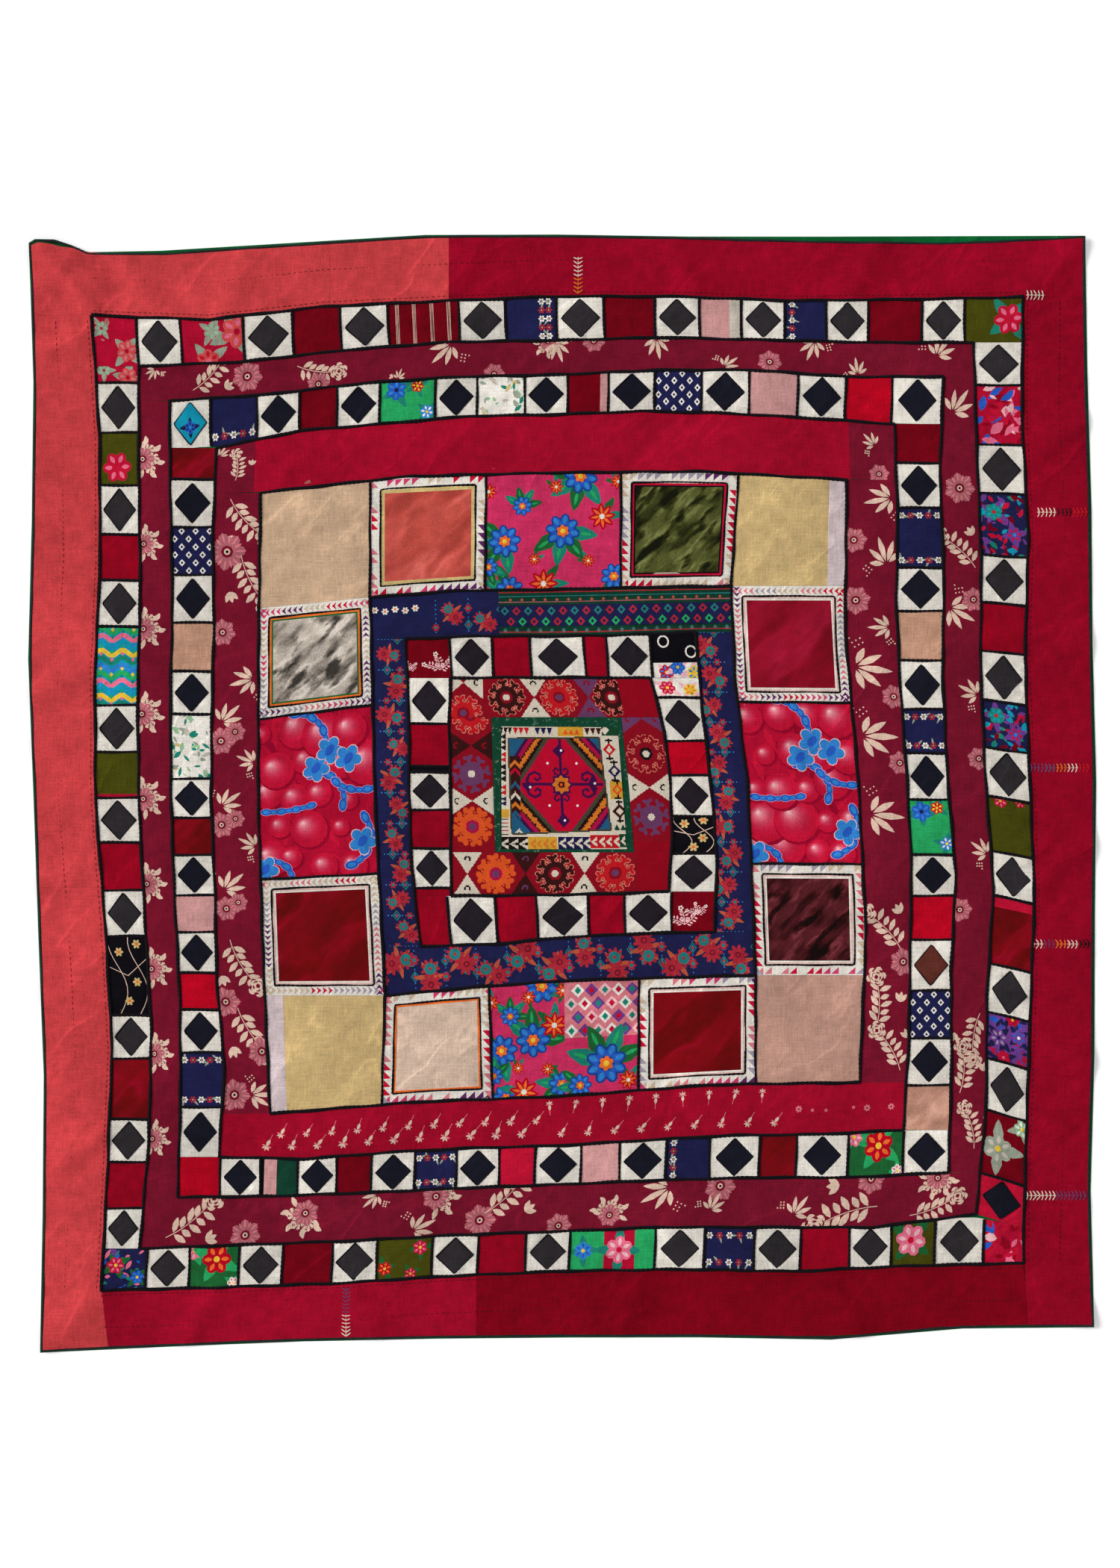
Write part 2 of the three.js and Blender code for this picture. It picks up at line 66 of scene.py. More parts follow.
# Heights of the layers over the surface the cover lies on, in metres
LINING_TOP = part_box("lining")[0][2] + 1.0 * MM
TOP_CLOTH = 2.7 * MM
CLOTH_THICKNESS = 0.9 * MM
LOWEST_UNDERSIDE = LINING_TOP + 0.15 * MM
SEAM_SMOOTHING = 60 * MM

# Main folds of the pieced top: a soft ridge from x, y to x, y, its height and half width
FOLDS = (
    (-1058, 1098, -958, 1016, 15, 42),
    (-1039, 888, -949, 933, 6, 24),
    (-1057, 633, -952, 543, 5, 24),
    (-1061, 198, -941, 258, 9, 28),
    (-1051, 93, -946, 33, 8, 28),
    (-1054, -192, -931, -132, 6, 24),
    (-1036, -402, -910, -470, 7, 28),
    (-1033, -747, -919, -687, 6, 24),
    (-1036, -1100, -931, -1010, 9, 28),
    (-889, 1091, -806, 978, 6, 24),
    (-634, 1091, -679, 971, 5, 24),
    (-169, 1106, -229, 1001, 5, 24),
    (221, 1106, 266, 1008, 5, 24),
    (641, 1106, 581, 1001, 6, 24),
    (1039, 1110, 935, 1005, 10, 30),
    (1054, 753, 941, 678, 5, 24),
    (1061, 303, 941, 243, 5, 24),
    (1064, -102, 956, -177, 7, 26),
    (1061, -537, 949, -477, 6, 24),
    (1061, -1062, 934, -950, 9, 28),
    (596, -1084, 521, -965, 6, 26),
    (116, -1084, 161, -965, 5, 24),
    (-379, -1084, -424, -987, 5, 24),
    (-754, -1100, -694, -995, 5, 24),
    (-790, 700, -765, 200, 3, 40),
    (-559, 678, -79, 708, 4, 32),
    (626, 543, 640, -207, 4, 36),
    (-484, -687, 371, -657, 3, 32),
    (-499, 573, -409, 423, 4, 36),
    (386, -417, 551, -552, 4, 36),
    (-589, 93, -424, -102, 3, 42),
    (431, 108, 536, -57, 3, 42),
)

# Finer creases, laid the same way. A trough has a height under zero.
CREASES = (
    (-1030, 1078, -935, 962, 6.5, 13),
    (-1046, 1040, -968, 900, 3.0, 14),
    (-985, 1078, -900, 985, 4.0, 12),
    (-1040, 990, -985, 880, -1.4, 11),
    (-1020, 940, -962, 830, 1.3, 11),
    (-1035, 800, -960, 660, -1.3, 11),
    (-1030, 500, -950, 420, 1.6, 12),
    (-1030, -20, -950, 20, -1.6, 11),
    (-1020, -480, -930, -560, 1.5, 12),
    (-905, 1070, -893, 975, -1.4, 11),
    (-760, 1075, -745, 985, 1.3, 11),
    (-560, 1090, -520, 990, -1.5, 12),
    (-330, 1090, -390, 1000, 1.6, 11),
    (-120, 1100, -60, 1010, -1.5, 11),
    (60, 1100, 110, 1010, 1.7, 12),
    (330, 1105, 420, 1010, -1.8, 12),
    (480, 1105, 560, 1010, 1.6, 11),
    (760, 1100, 850, 1005, -1.6, 12),
    (1045, 900, 960, 850, 1.5, 12),
    (1050, 420, 950, 390, -1.5, 11),
    (1055, -320, 950, -280, 1.6, 12),
    (1050, -900, 950, -830, -1.6, 12),
    (800, -1080, 700, -970, 1.6, 12),
    (350, -1085, 260, -975, -1.6, 12),
    (-120, -1090, -200, -990, 1.5, 12),
    (-560, -1090, -640, -1000, -1.6, 12),
    (-560, 640, -470, 720, 1.7, 11),
    (-440, 630, -330, 740, -1.7, 12),
    (-300, 640, -180, 740, 1.7, 12),
    (-120, 650, -20, 740, -1.5, 11),
    (80, 650, 160, 730, 1.5, 12),
    (260, 660, 360, 740, -1.5, 12),
    (-560, 560, -440, 500, 1.6, 12),
    (-520, 480, -430, 560, -1.5, 12),
    (400, -430, 500, -480, 1.5, 12),
    (450, -400, 520, -560, -1.4, 11),
    (-540, -480, -470, -600, 1.4, 12),
    (420, 560, 470, 440, -1.4, 11),
)

# Inks and dyes of each finish, as red, green and blue of 255
INK_LISTS = {
    "cotton": (
        "cream 222 190 170, print_pink 214 120 130, patch_shadow 196 186 172, navy_black 24 24 36, "
        "grey_brown 36 31 38, brown 92 44 36, ink_black 14 12 18, teal 20 150 180, sea_green 30 130 110, "
        "leaf_green 30 100 50, bright_green 40 165 95, olive 72 72 14, pale_green 150 190 150, "
        "grey_green 150 158 140, sky 50 130 205, print_blue 40 90 190, violet 110 60 140, navy 31 32 74, "
        "pink_ground 208 48 96, blob_red 180 12 48, blob_dark 152 6 42, rose_red 196 18 52, "
        "pink 232 110 140, pale_pink 240 186 190, coral_rose 214 78 76, dusty_pink 206 150 148, "
        "orange 236 110 44, yellow 238 196 60, gold 206 180 120, tan 200 152 126, white_ink 236 230 220, "
        "bright_red 186 4 32, dark_red_cloth 120 2 20, sea_dark 18 60 44, blue_edge 24 60 130, "
        "dusk 170 96 104, lilac_grey 160 148 164, frame_pink 206 60 110, frame_plum 96 40 96, "
        "frame_tan 206 182 156, piping 226 190 180, navy_rose 174 40 54, navy_deep 122 24 44, "
        "navy_teal 40 120 120, navy_orange 186 84 58"
    ),
    "velvet": (
        "velvet_red 116 0 4, velvet_coral 188 72 62, velvet_tan 200 146 124, satin_crimson 138 2 30"
    ),
    "crushed": (
        "velvet_green 62 66 16, velvet_grey 184 170 156, velvet_dark 62 4 8"
    ),
    "silk": (
        "beige_silk 208 172 138, yellow_silk 212 180 120, "
        "lilac_silk 212 192 194, tan_silk 194 146 128, pale_silk 220 190 168"
    ),
    "thread": (
        "wool_amber 226 124 40, wool_crimson 204 6 48, wool_plain 158 2 28, wool_red 150 8 30, "
        "wool_bright 205 24 34, wool_cream 232 218 198, wool_orange 236 90 36, "
        "wool_gold 226 170 56, wool_purple 112 62 104, wool_plum 66 14 74, wool_black 26 16 18, "
        "wool_brown 60 18 18, wool_magenta 186 14 70, wool_teal 34 96 134, wool_navy 28 26 76, "
        "wool_green 20 70 44, wool_moss 74 70 50, thread_pink 230 130 110"
    ),
}
INKS = {}
for finish, text in INK_LISTS.items():
    for entry in text.split(", "):
        name, *parts = entry.split()
        INKS[name] = (*map(int, parts), finish)

# A blot pales towards its bright spot in this many steps, each with an ink of its own
BLOT_STEPS = 12
for step in range(BLOT_STEPS):
    pale = (step / (BLOT_STEPS - 1)) ** 2.0
    INKS[f"blot_{step}"] = (196 + 52 * pale, 18 + 172 * pale, 54 + 140 * pale, "cotton")

FINISHES = ("cotton", "silk", "velvet", "crushed", "thread")


def dye(red, green, blue, label, story):
    """A colour that a user may change, shown as it looks and kept as it is typed."""
    return FloatVectorProperty(
        name=label, description=story, subtype="COLOR_GAMMA", min=0.0, max=1.0,
        default=(red / 255, green / 255, blue / 255),
    )


def metres(label, story, default, least=0.0):
    """A length in metres that a user may change."""
    return FloatProperty(name=label, description=story, default=default, min=least, unit="LENGTH")


class SuzaniDyes(bpy.types.PropertyGroup):
    """Colours of the main cloths"""

    coral: dye(208, 66, 70, "Coral", "Cotton of the left and upper left border")
    red: dye(152, 5, 36, "Red", "Cotton of the upper and right border")
    crimson: dye(162, 9, 40, "Crimson", "Cotton of the lower left border and wide band")
    dark_red: dye(128, 2, 22, "Dark red", "Cotton of the lower right border")
    patch_red: dye(150, 4, 30, "Patch red", "Plain red patches")
    patch_dark: dye(116, 3, 20, "Dark patch red", "Dark red patches")
    burgundy: dye(120, 18, 42, "Burgundy", "Ground of the flowered bands")
    white: dye(230, 223, 212, "White", "Ground of the diamond patches")
    charcoal: dye(47, 43, 46, "Charcoal", "Diamonds of the outer ring")
    lining: dye(10, 96, 46, "Lining", "Green cotton under the cover")
    cord: dye(16, 13, 18, "Cord", "Couched cords over the seams")
    edge_cord: dye(34, 40, 40, "Edge cord", "Cord round the hem")
    binding: dye(10, 62, 42, "Binding", "Ribbon round the centre panel")


class SuzaniCloth(bpy.types.PropertyGroup):
    """Sizes of the cloths"""

    step: metres("Mesh step", "Spacing of the cloth's points", 0.011, 0.004)
    puff: metres("Puff", "How far a patch swells between seams", 0.0013)
    pucker: metres("Pucker", "Height of the gathers at the seams", 0.0008)
    ripple: metres("Ripple", "Height of the soft unevenness", 0.0019)


class SuzaniCords(bpy.types.PropertyGroup):
    """Sizes of the cords and stitches"""

    seam: metres("Seam cord", "Width of the couched cords", 0.0066, 0.001)
    outline: metres("Outline", "Width of the diamonds' outlines", 0.0024, 0.0005)
    edge: metres("Edge cord", "Width of the cord round the hem", 0.0045, 0.001)
    bead: metres("Bead", "Diameter of the beads", 0.0055, 0.001)


class SuzaniStage(bpy.types.PropertyGroup):
    """Camera and light"""

    height: metres("Camera height", "Camera above the cloth", 8.0, 1.0)
    key: FloatProperty(name="Key light", description="Strength of the soft main light",
                       default=2.5, min=0.0)
    elevation: FloatProperty(name="Key height", description="Angle of the main light over the floor",
                             default=0.6, min=0.1, max=1.5, subtype="ANGLE")
    sky: FloatProperty(name="Surround", description="Strength of the even surround",
                       default=0.5, min=0.0)


def settings(name):
    return getattr(bpy.context.scene, f"suzani_{name}")


# Colours

def linear(colour):
    """A typed colour as the renderer's linear numbers."""
    typed = np.asarray(colour, float)
    return np.where(typed <= 0.04045, typed / 12.92, ((typed + 0.055) / 1.055) ** 2.4)


def ink_finish(name):
    return INKS[name][3] if name in INKS else "cotton"


def ink_colour(name):
    if name in INKS:
        return linear(np.array(INKS[name][:3]) / 255)
    return linear(getattr(settings("dyes"), name))


# Shared shader groups

def new_group(name, inputs, outputs):
    """An empty node group with named value inputs and outputs, and its two end nodes."""
    group = bpy.data.node_groups.new(name, "ShaderNodeTree")
    for label, default in inputs:
        socket = group.interface.new_socket(label, in_out="INPUT", socket_type="NodeSocketFloat")
        socket.default_value = default
    for label in outputs:
        group.interface.new_socket(label, in_out="OUTPUT", socket_type="NodeSocketFloat")
    return group, group.nodes.new("NodeGroupInput"), group.nodes.new("NodeGroupOutput")


def add_math(tree, operation, first, second=0.0, third=0.0, clamp=False):
    """A sum on numbers or sockets. The third is what MULTIPLY_ADD adds."""
    node = tree.nodes.new("ShaderNodeMath")
    node.operation = operation
    node.use_clamp = clamp
    for socket, value in zip(node.inputs, (first, second, third)):
        if isinstance(value, (int, float)):
            socket.default_value = value
        else:
            tree.links.new(value, socket)
    return node.outputs[0]


def product(tree, first, *others):
    for value in others:
        first = add_math(tree, "MULTIPLY", first, value)
    return first


def add_noise(tree, vector, scale, detail=2.0, roughness=0.5):
    node = tree.nodes.new("ShaderNodeTexNoise")
    node.inputs["Detail"].default_value = detail
    node.inputs["Roughness"].default_value = roughness
    tree.links.new(vector, node.inputs["Vector"])
    if isinstance(scale, (int, float)):
        node.inputs["Scale"].default_value = scale
    else:
        tree.links.new(scale, node.inputs["Scale"])
    return node.outputs["Fac"]


def add_stretch(tree, vector, scale, turn=0.0):
    """A place turned about +Z, then scaled."""
    for label, value in (("Rotation", (0.0, 0.0, turn)), ("Scale", scale)):
        node = tree.nodes.new("ShaderNodeMapping")
        node.inputs[label].default_value = value
        tree.links.new(vector, node.inputs["Vector"])
        vector = node.outputs["Vector"]
    return vector


def place_of(tree):
    return tree.nodes.new("ShaderNodeTexCoord").outputs["Object"]


# A wave texture's scale for one thread to the metre
WAVE_SCALE = math.pi / 10


def weave_group():
    """Crossed threads: their height, and a tone of painted shade that dims between them, with random
    unevenness.
    """
    group, ends_in, ends_out = new_group(
        "Weave", (("Threads per metre", 900.0), ("Unevenness", 0.4)), ("Height", "Tone")
    )
    place = place_of(group)
    threads = []
    for direction in ("X", "Y"):
        wave = group.nodes.new("ShaderNodeTexWave")
        wave.bands_direction = direction
        wave.inputs["Distortion"].default_value = 1.2
        wave.inputs["Detail"].default_value = 1.0
        wave.inputs["Detail Scale"].default_value = 0.3
        group.links.new(place, wave.inputs["Vector"])
        pitch = product(group, ends_in.outputs["Threads per metre"], WAVE_SCALE)
        group.links.new(pitch, wave.inputs["Scale"])
        threads.append(wave.outputs["Fac"])
    crossed = add_math(group, "MAXIMUM", threads[0], threads[1])
    wild = add_noise(group, place, 420.0, 3.0)
    height = add_math(group, "ADD", crossed, product(group, wild, ends_in.outputs["Unevenness"]))
    # Painted shade: the tone is darker where the threads dip, following their height.
    tone = add_math(group, "MULTIPLY_ADD", height, 0.10, 0.92)
    group.links.new(height, ends_out.inputs["Height"])
    group.links.new(tone, ends_out.inputs["Tone"])
    return group


def slub_group():
    """Thick threads that run a little way along the cloth, lighter or darker."""
    group, ends_in, ends_out = new_group("Slubs", (("Amount", 0.1),), ("Tone",))
    place = place_of(group)
    warp = add_noise(group, add_stretch(group, place, (420.0, 26.0, 1.0)), 1.0, 2.0)
    weft = add_noise(group, add_stretch(group, place, (22.0, 520.0, 1.0)), 1.0, 2.0)
    both = add_math(group, "ADD", warp, weft)
    centred = add_math(group, "SUBTRACT", both, 1.0)
    tone = add_math(group, "MULTIPLY_ADD", product(group, centred, ends_in.outputs["Amount"]), 4.0, 1.0)
    group.links.new(tone, ends_out.inputs["Tone"])
    return group


def fade_group():
    """Slow changes of tone over the cloth from washing, light and handling."""
    group, ends_in, ends_out = new_group("Fading", (("Amount", 0.1),), ("Tone",))
    place = place_of(group)
    slow = add_noise(group, place, 5.0, 3.0, 0.55)
    quick = add_noise(group, place, 38.0, 4.0, 0.6)
    flecks = add_noise(group, place, 260.0, 3.0, 0.7)
    both = add_math(group, "ADD", add_math(group, "ADD", slow, quick), flecks)
    centred = add_math(group, "SUBTRACT", both, 1.5)
    tone = add_math(group, "MULTIPLY_ADD", product(group, centred, ends_in.outputs["Amount"]), 1.8, 1.0)
    group.links.new(tone, ends_out.inputs["Tone"])
    return group


def crease_group():
    """Soft dents, thin ridges that come and go along them, and a mask of painted sheen and shade for a pile
    that lies on them.
    """
    group, ends_in, ends_out = new_group(
        "Creases", (("Scale", 8.0), ("Thinness", 10.0), ("Contrast", 2.0)), ("Dents", "Ridges", "Lie")
    )
    place = add_stretch(group, place_of(group), (1.0, 0.36, 1.0), 0.8)
    dents = add_noise(group, place, ends_in.outputs["Scale"], 3.0, 0.5)
    centred = add_math(group, "SUBTRACT", dents, 0.5)
    away = product(group, add_math(group, "ABSOLUTE", centred), ends_in.outputs["Thinness"])
    line = add_math(group, "POWER", add_math(group, "SUBTRACT", 1.0, away, clamp=True), 1.6)
    breaks = add_noise(group, place, product(group, ends_in.outputs["Scale"], 0.8), 2.0)
    shown = add_math(group, "MULTIPLY", add_math(group, "SUBTRACT", breaks, 0.42), 5.0, clamp=True)
    ridges = product(group, line, shown)
    spread = add_math(group, "MULTIPLY_ADD", centred, ends_in.outputs["Contrast"], 0.25, clamp=True)
    # The lie is painted sheen and shade for a pile: lighter on the ridges and rises, darker in the dents.
    lie = add_math(group, "MULTIPLY_ADD", ridges, 0.75, spread)
    for value, label in ((dents, "Dents"), (ridges, "Ridges"), (lie, "Lie")):
        group.links.new(value, ends_out.inputs[label])
    return group


SHARED = {}


def use_group(tree, name, **values):
    """One of the shared groups, made when it is first asked for."""
    makers = {"weave": weave_group, "slubs": slub_group, "fade": fade_group, "creases": crease_group}
    if name not in SHARED:
        SHARED[name] = makers[name]()
    node = tree.nodes.new("ShaderNodeGroup")
    node.node_tree = SHARED[name]
    for label, value in values.items():
        node.inputs[label.replace("_", " ")].default_value = value
    return node.outputs


# Materials

CLOTH_SHINE = 0.06
SILK_SHINE = 0.3


def new_material(name, roughness, sheen=0.0):
    material = bpy.data.materials.new(name)
    material.use_nodes = True
    shader = material.node_tree.nodes["Principled BSDF"]
    shader.inputs["Roughness"].default_value = roughness
    shader.inputs["Specular IOR Level"].default_value = CLOTH_SHINE
    shader.inputs["Sheen Weight"].default_value = sheen
    shader.inputs["Sheen Roughness"].default_value = 0.5
    return material, material.node_tree, shader


def dyed(tree):
    """The dye that each face of a cloth holds."""
    node = tree.nodes.new("ShaderNodeVertexColor")
    node.layer_name = "dye"
    return node.outputs["Color"]


def toned(tree, colour, tone):
    """A colour made lighter or darker by a tone around 1."""
    node = tree.nodes.new("ShaderNodeVectorMath")
    node.operation = "SCALE"
    tree.links.new(colour, node.inputs[0])
    tree.links.new(tone, node.inputs["Scale"])
    return node.outputs["Vector"]


def dye_cloth(tree, shader, tone):
    """Gives a material the dye of each face, made lighter or darker by a tone."""
    tree.links.new(toned(tree, dyed(tree), tone), shader.inputs["Base Color"])


def ramped(tree, shader, amount, low, high):
    """Gives a material a colour between two, by an amount."""
    ramp = tree.nodes.new("ShaderNodeValToRGB")
    ramp.color_ramp.elements[0].color = low
    ramp.color_ramp.elements[1].color = high
    tree.links.new(amount, ramp.inputs["Fac"])
    tree.links.new(ramp.outputs["Color"], shader.inputs["Base Color"])


def bumped(tree, shader, height, depth):
    bump = tree.nodes.new("ShaderNodeBump")
    bump.inputs["Distance"].default_value = depth
    bump.inputs["Strength"].default_value = 0.8
    tree.links.new(height, bump.inputs["Height"])
    tree.links.new(bump.outputs["Normal"], shader.inputs["Normal"])


def creased(tree, shader, weave, depth, **folds):
    """Bumps a cloth with its threads and creases, and gives the creases back."""
    creases = use_group(tree, "creases", **folds)
    ridges = add_math(tree, "MULTIPLY_ADD", creases["Ridges"], 6.0, weave["Height"])
    bumped(tree, shader, add_math(tree, "MULTIPLY_ADD", creases["Dents"], 36.0, ridges), depth)
    return creases


def cotton_material():
    material, tree, shader = new_material("Suzani cotton", 0.95)
    weave = use_group(tree, "weave", Threads_per_metre=900.0, Unevenness=0.5)
    slubs = use_group(tree, "slubs", Amount=0.13)
    fade = use_group(tree, "fade", Amount=0.36)
    creases = creased(tree, shader, weave, 0.36 * MM, Scale=9.0, Thinness=16.0)
    # Painted highlight: the crease ridges are made lighter.
    wear_and_ridge_light = add_math(tree, "MULTIPLY_ADD", creases["Ridges"], 0.2, 0.97)
    dye_cloth(tree, shader, product(tree, weave["Tone"], slubs["Tone"], fade["Tone"], wear_and_ridge_light))
    return material


def silk_material():
    material, tree, shader = new_material("Suzani silk", 0.42, 0.05)
    shader.inputs["Specular IOR Level"].default_value = SILK_SHINE
    weave = use_group(tree, "weave", Threads_per_metre=1500.0, Unevenness=0.3)
    slubs = use_group(tree, "slubs", Amount=0.14)
    fade = use_group(tree, "fade", Amount=0.34)
    creases = creased(tree, shader, weave, 0.26 * MM, Scale=15.0, Thinness=13.0)
    # Painted highlight: the crease ridges are made lighter.
    wear_and_ridge_light = add_math(tree, "MULTIPLY_ADD", creases["Ridges"], 0.3, 0.96)
    dye_cloth(tree, shader, product(tree, slubs["Tone"], fade["Tone"], wear_and_ridge_light))
    return material


# For plain and crushed velvet: scale, thinness and contrast of the creases; the tone of the pile's painted
# sheen and shade and what is added to it; the grain's tone and what is added to it; and how bright the
# painted sheen streaks are
PLAIN_PILE = (15.0, 8.0, 2.0, 0.66, 0.72, 0.6, 0.7, 0.26)
CRUSHED_PILE = (46.0, 6.5, 1.8, 1.7, 0.1, 1.4, 0.3, 0.75)


def velvet_material(name="Suzani velvet", pile_values=PLAIN_PILE):
    """Pile that lies in soft streaks, or in bright crushed ones, their sheen and shade painted into the
    colour.
    """
    scale, thinness, contrast, lie, lie_floor, rough, rough_floor, brightness = pile_values
    material, tree, shader = new_material(name, 0.75, 0.06)
    pile = use_group(tree, "creases", Scale=scale, Thinness=thinness, Contrast=contrast)
    fade = use_group(tree, "fade", Amount=0.4)
    speckle = add_noise(tree, place_of(tree), 330.0, 3.0)
    grain = add_math(tree, "MULTIPLY_ADD", speckle, rough, rough_floor)
    # Painted shade and sheen: the pile's lie makes the dye darker or lighter.
    tone = add_math(tree, "MULTIPLY_ADD", pile["Lie"], lie, lie_floor)
    tone = product(tree, tone, fade["Tone"], grain)
    # Painted sheen: streaks of paler dye where the pile catches the light.
    light = tree.nodes.new("ShaderNodeMix")
    light.data_type = "RGBA"
    shine = product(tree, add_math(tree, "POWER", pile["Lie"], 2.2), grain, brightness)
    tree.links.new(shine, light.inputs["Factor"])
    tree.links.new(toned(tree, dyed(tree), tone), light.inputs["A"])
    sheen = tree.nodes.new("ShaderNodeGamma")
    sheen.inputs["Gamma"].default_value = 0.45
    tree.links.new(dyed(tree), sheen.inputs["Color"])
    tree.links.new(sheen.outputs["Color"], light.inputs["B"])
    tree.links.new(light.outputs["Result"], shader.inputs["Base Color"])
    fine = add_noise(tree, place_of(tree), 1400.0, 2.0)
    bumped(tree, shader, add_math(tree, "MULTIPLY_ADD", fine, 0.4, pile["Dents"]), 2.0 * MM)
    return material


def thread_material():
    material, tree, shader = new_material("Suzani thread", 0.8, 0.03)
    fade = use_group(tree, "fade", Amount=0.16)
    strands = tree.nodes.new("ShaderNodeTexWave")
    strands.bands_direction = "DIAGONAL"
    strands.inputs["Scale"].default_value = 260.0
    strands.inputs["Distortion"].default_value = 3.0
    tree.links.new(place_of(tree), strands.inputs["Vector"])
    # Painted shade: darker in the grooves between strands, where the bump dips.
    tone = add_math(tree, "MULTIPLY_ADD", strands.outputs["Fac"], 0.22, 0.86)
    dye_cloth(tree, shader, product(tree, tone, fade["Tone"]))
    bumped(tree, shader, strands.outputs["Fac"], 0.5 * MM)
    return material


def cord_material():
    material, tree, shader = new_material("Suzani cord", 0.72, 0.02)
    fibres = add_noise(tree, place_of(tree), 900.0, 3.0)
    dye_cloth(tree, shader, add_math(tree, "MULTIPLY_ADD", fibres, 0.8, 0.6))
    bumped(tree, shader, fibres, 0.5 * MM)
    return material


def ribbon_material():
    material, tree, shader = new_material("Suzani ribbon", 0.8, 0.05)
    pile = use_group(tree, "creases", Scale=60.0)
    # Wear: pale flecks where the pile is rubbed.
    wear_and_ridge_light = add_math(tree, "GREATER_THAN", add_noise(tree, place_of(tree), 150.0, 3.0, 0.7), 0.62)
    # Painted shade and sheen: the pile is darker in its dents and lighter on its rises.
    tone = add_math(tree, "MULTIPLY_ADD", pile["Dents"], 0.8, 0.6)
    mixed = tree.nodes.new("ShaderNodeMix")
    mixed.data_type = "RGBA"
    mixed.inputs["B"].default_value = (*linear((0.50, 0.56, 0.50)), 1.0)
    tree.links.new(product(tree, wear_and_ridge_light, 0.55), mixed.inputs["Factor"])
    tree.links.new(toned(tree, dyed(tree), tone), mixed.inputs["A"])
    tree.links.new(mixed.outputs["Result"], shader.inputs["Base Color"])
    bumped(tree, shader, pile["Dents"], 0.6 * MM)
    return material


def bead_material():
    material, tree, shader = new_material("Suzani bead", 0.22)
    clouds = add_noise(tree, place_of(tree), 300.0, 2.0)
    ramped(tree, shader, clouds, (0.62, 0.58, 0.54, 1.0), (0.95, 0.94, 0.92, 1.0))
    return material


MATERIAL_MAKERS = {
    "cotton": cotton_material, "silk": silk_material, "velvet": velvet_material,
    "crushed": lambda: velvet_material("Crushed velvet", CRUSHED_PILE),
    "thread": thread_material, "cord": cord_material, "ribbon": ribbon_material,
    "bead": bead_material,
}
MATERIALS = {}


def material_of(finish):
    if finish not in MATERIALS:
        MATERIALS[finish] = MATERIAL_MAKERS[finish]()
    return MATERIALS[finish]


# The frame's seams

def top_loops(node):
    """The rims of a solid's upper side, as loops of points that run anticlockwise."""
    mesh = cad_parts[node].data
    points, keys, following = {}, {}, {}
    for vertex in mesh.vertices:
        key = tuple(round(c * 1e5) for c in vertex.co)
        keys[vertex.index] = key
        points[key] = vertex.co.copy()
    edges = set()
    for face in mesh.polygons:
        if face.normal.z > 0.5:
            around = [keys[i] for i in face.vertices]
            edges.update(zip(around, around[1:] + around[:1]))
    for start, end in edges:
        if (end, start) not in edges:
            following[start] = end
    loops = []
    while following:
        start = next(iter(following))
        loop = [start]
        while following.get(loop[-1]) is not None:
            loop.append(following.pop(loop[-1]))
        loops.append(np.array([points[key] for key in loop[:-1]]))
    return loops


def four_runs(loop):
    """South, east, north and west edges of a loop, each from left to right or upward."""
    flat = loop[:, :2]
    rise, fall = flat[:, 0] + flat[:, 1], flat[:, 0] - flat[:, 1]
    corners = [rise.argmin(), fall.argmax(), rise.argmax(), fall.argmin()]
    runs = []
    for place, start in enumerate(corners):
        end = corners[(place + 1) % 4]
        count = (end - start) % len(flat) + 1
        runs.append(flat[[(start + i) % len(flat) for i in range(count)]])
    south, east, north, west = runs
    return south, east, north[::-1], west[::-1]


class Band:
    """The plan of a sheet of the frame, between its two long edges."""

    def __init__(self, node, upright):
        south, east, north, west = four_runs(top_loops(node)[0])
        self.upright = upright
        self.low, self.high = (west, east) if upright else (south, north)
        axis = 1 if upright else 0
        self.axis = axis
        self.length = float(np.mean([abs(r[-1][axis] - r[0][axis]) for r in (self.low, self.high)]))
        shares = (np.array([0.5, 0.5]), np.array([0.0, 1.0]))
        middle = self.plan(*reversed(shares)) if upright else self.plan(*shares)
        self.width = float(np.linalg.norm(middle[1] - middle[0]))

    def run_points(self, run, share):
        axis = self.axis
        first, last = run[0][axis], run[-1][axis]
        place = first + (last - first) * share
        reach = np.minimum(SEAM_SMOOTHING, np.minimum(place - first, last - place)).clip(0)
        other = sum(
            weight * np.interp(place + side * reach, run[:, axis], run[:, 1 - axis])
            for side, weight in ((-1, 0.25), (0, 0.5), (1, 0.25))
        )
        return np.stack([other, place] if axis else [place, other], axis=1)

    def plan(self, x_share, y_share):
        """Points of the band at shares of its width and height, from the lower left."""
        along, over = (y_share, x_share) if self.upright else (x_share, y_share)
        low = self.run_points(self.low, along)
        high = self.run_points(self.high, along)
        return low + (high - low) * over[:, None]

    def part(self, start, end, low=0.0, high=1.0):
        """A panel of the band: from start to end along it, from low to high across."""
        x_range, y_range = ((low, high), (start, end)) if self.upright else ((start, end), (low, high))
        return Panel(self, x_range, y_range)


class Panel:
    """A rectangle of cloth in millimetres, laid on a part of a band."""

    def __init__(self, band, x_range, y_range):
        self.band, self.x_range, self.y_range = band, x_range, y_range
        across = abs(x_range[1] - x_range[0])
        upward = abs(y_range[1] - y_range[0])
        if band.upright:
            size = band.width * across, band.length * upward
        else:
            size = band.length * across, band.width * upward
        self.width, self.height = size[0] / MM, size[1] / MM

    def plan(self, points):
        shares = np.asarray(points, float) / (self.width, self.height)
        x_share = self.x_range[0] + (self.x_range[1] - self.x_range[0]) * shares[:, 0]
        y_share = self.y_range[0] + (self.y_range[1] - self.y_range[0]) * shares[:, 1]
        return self.band.plan(x_share, y_share)


# The lie of the cloth

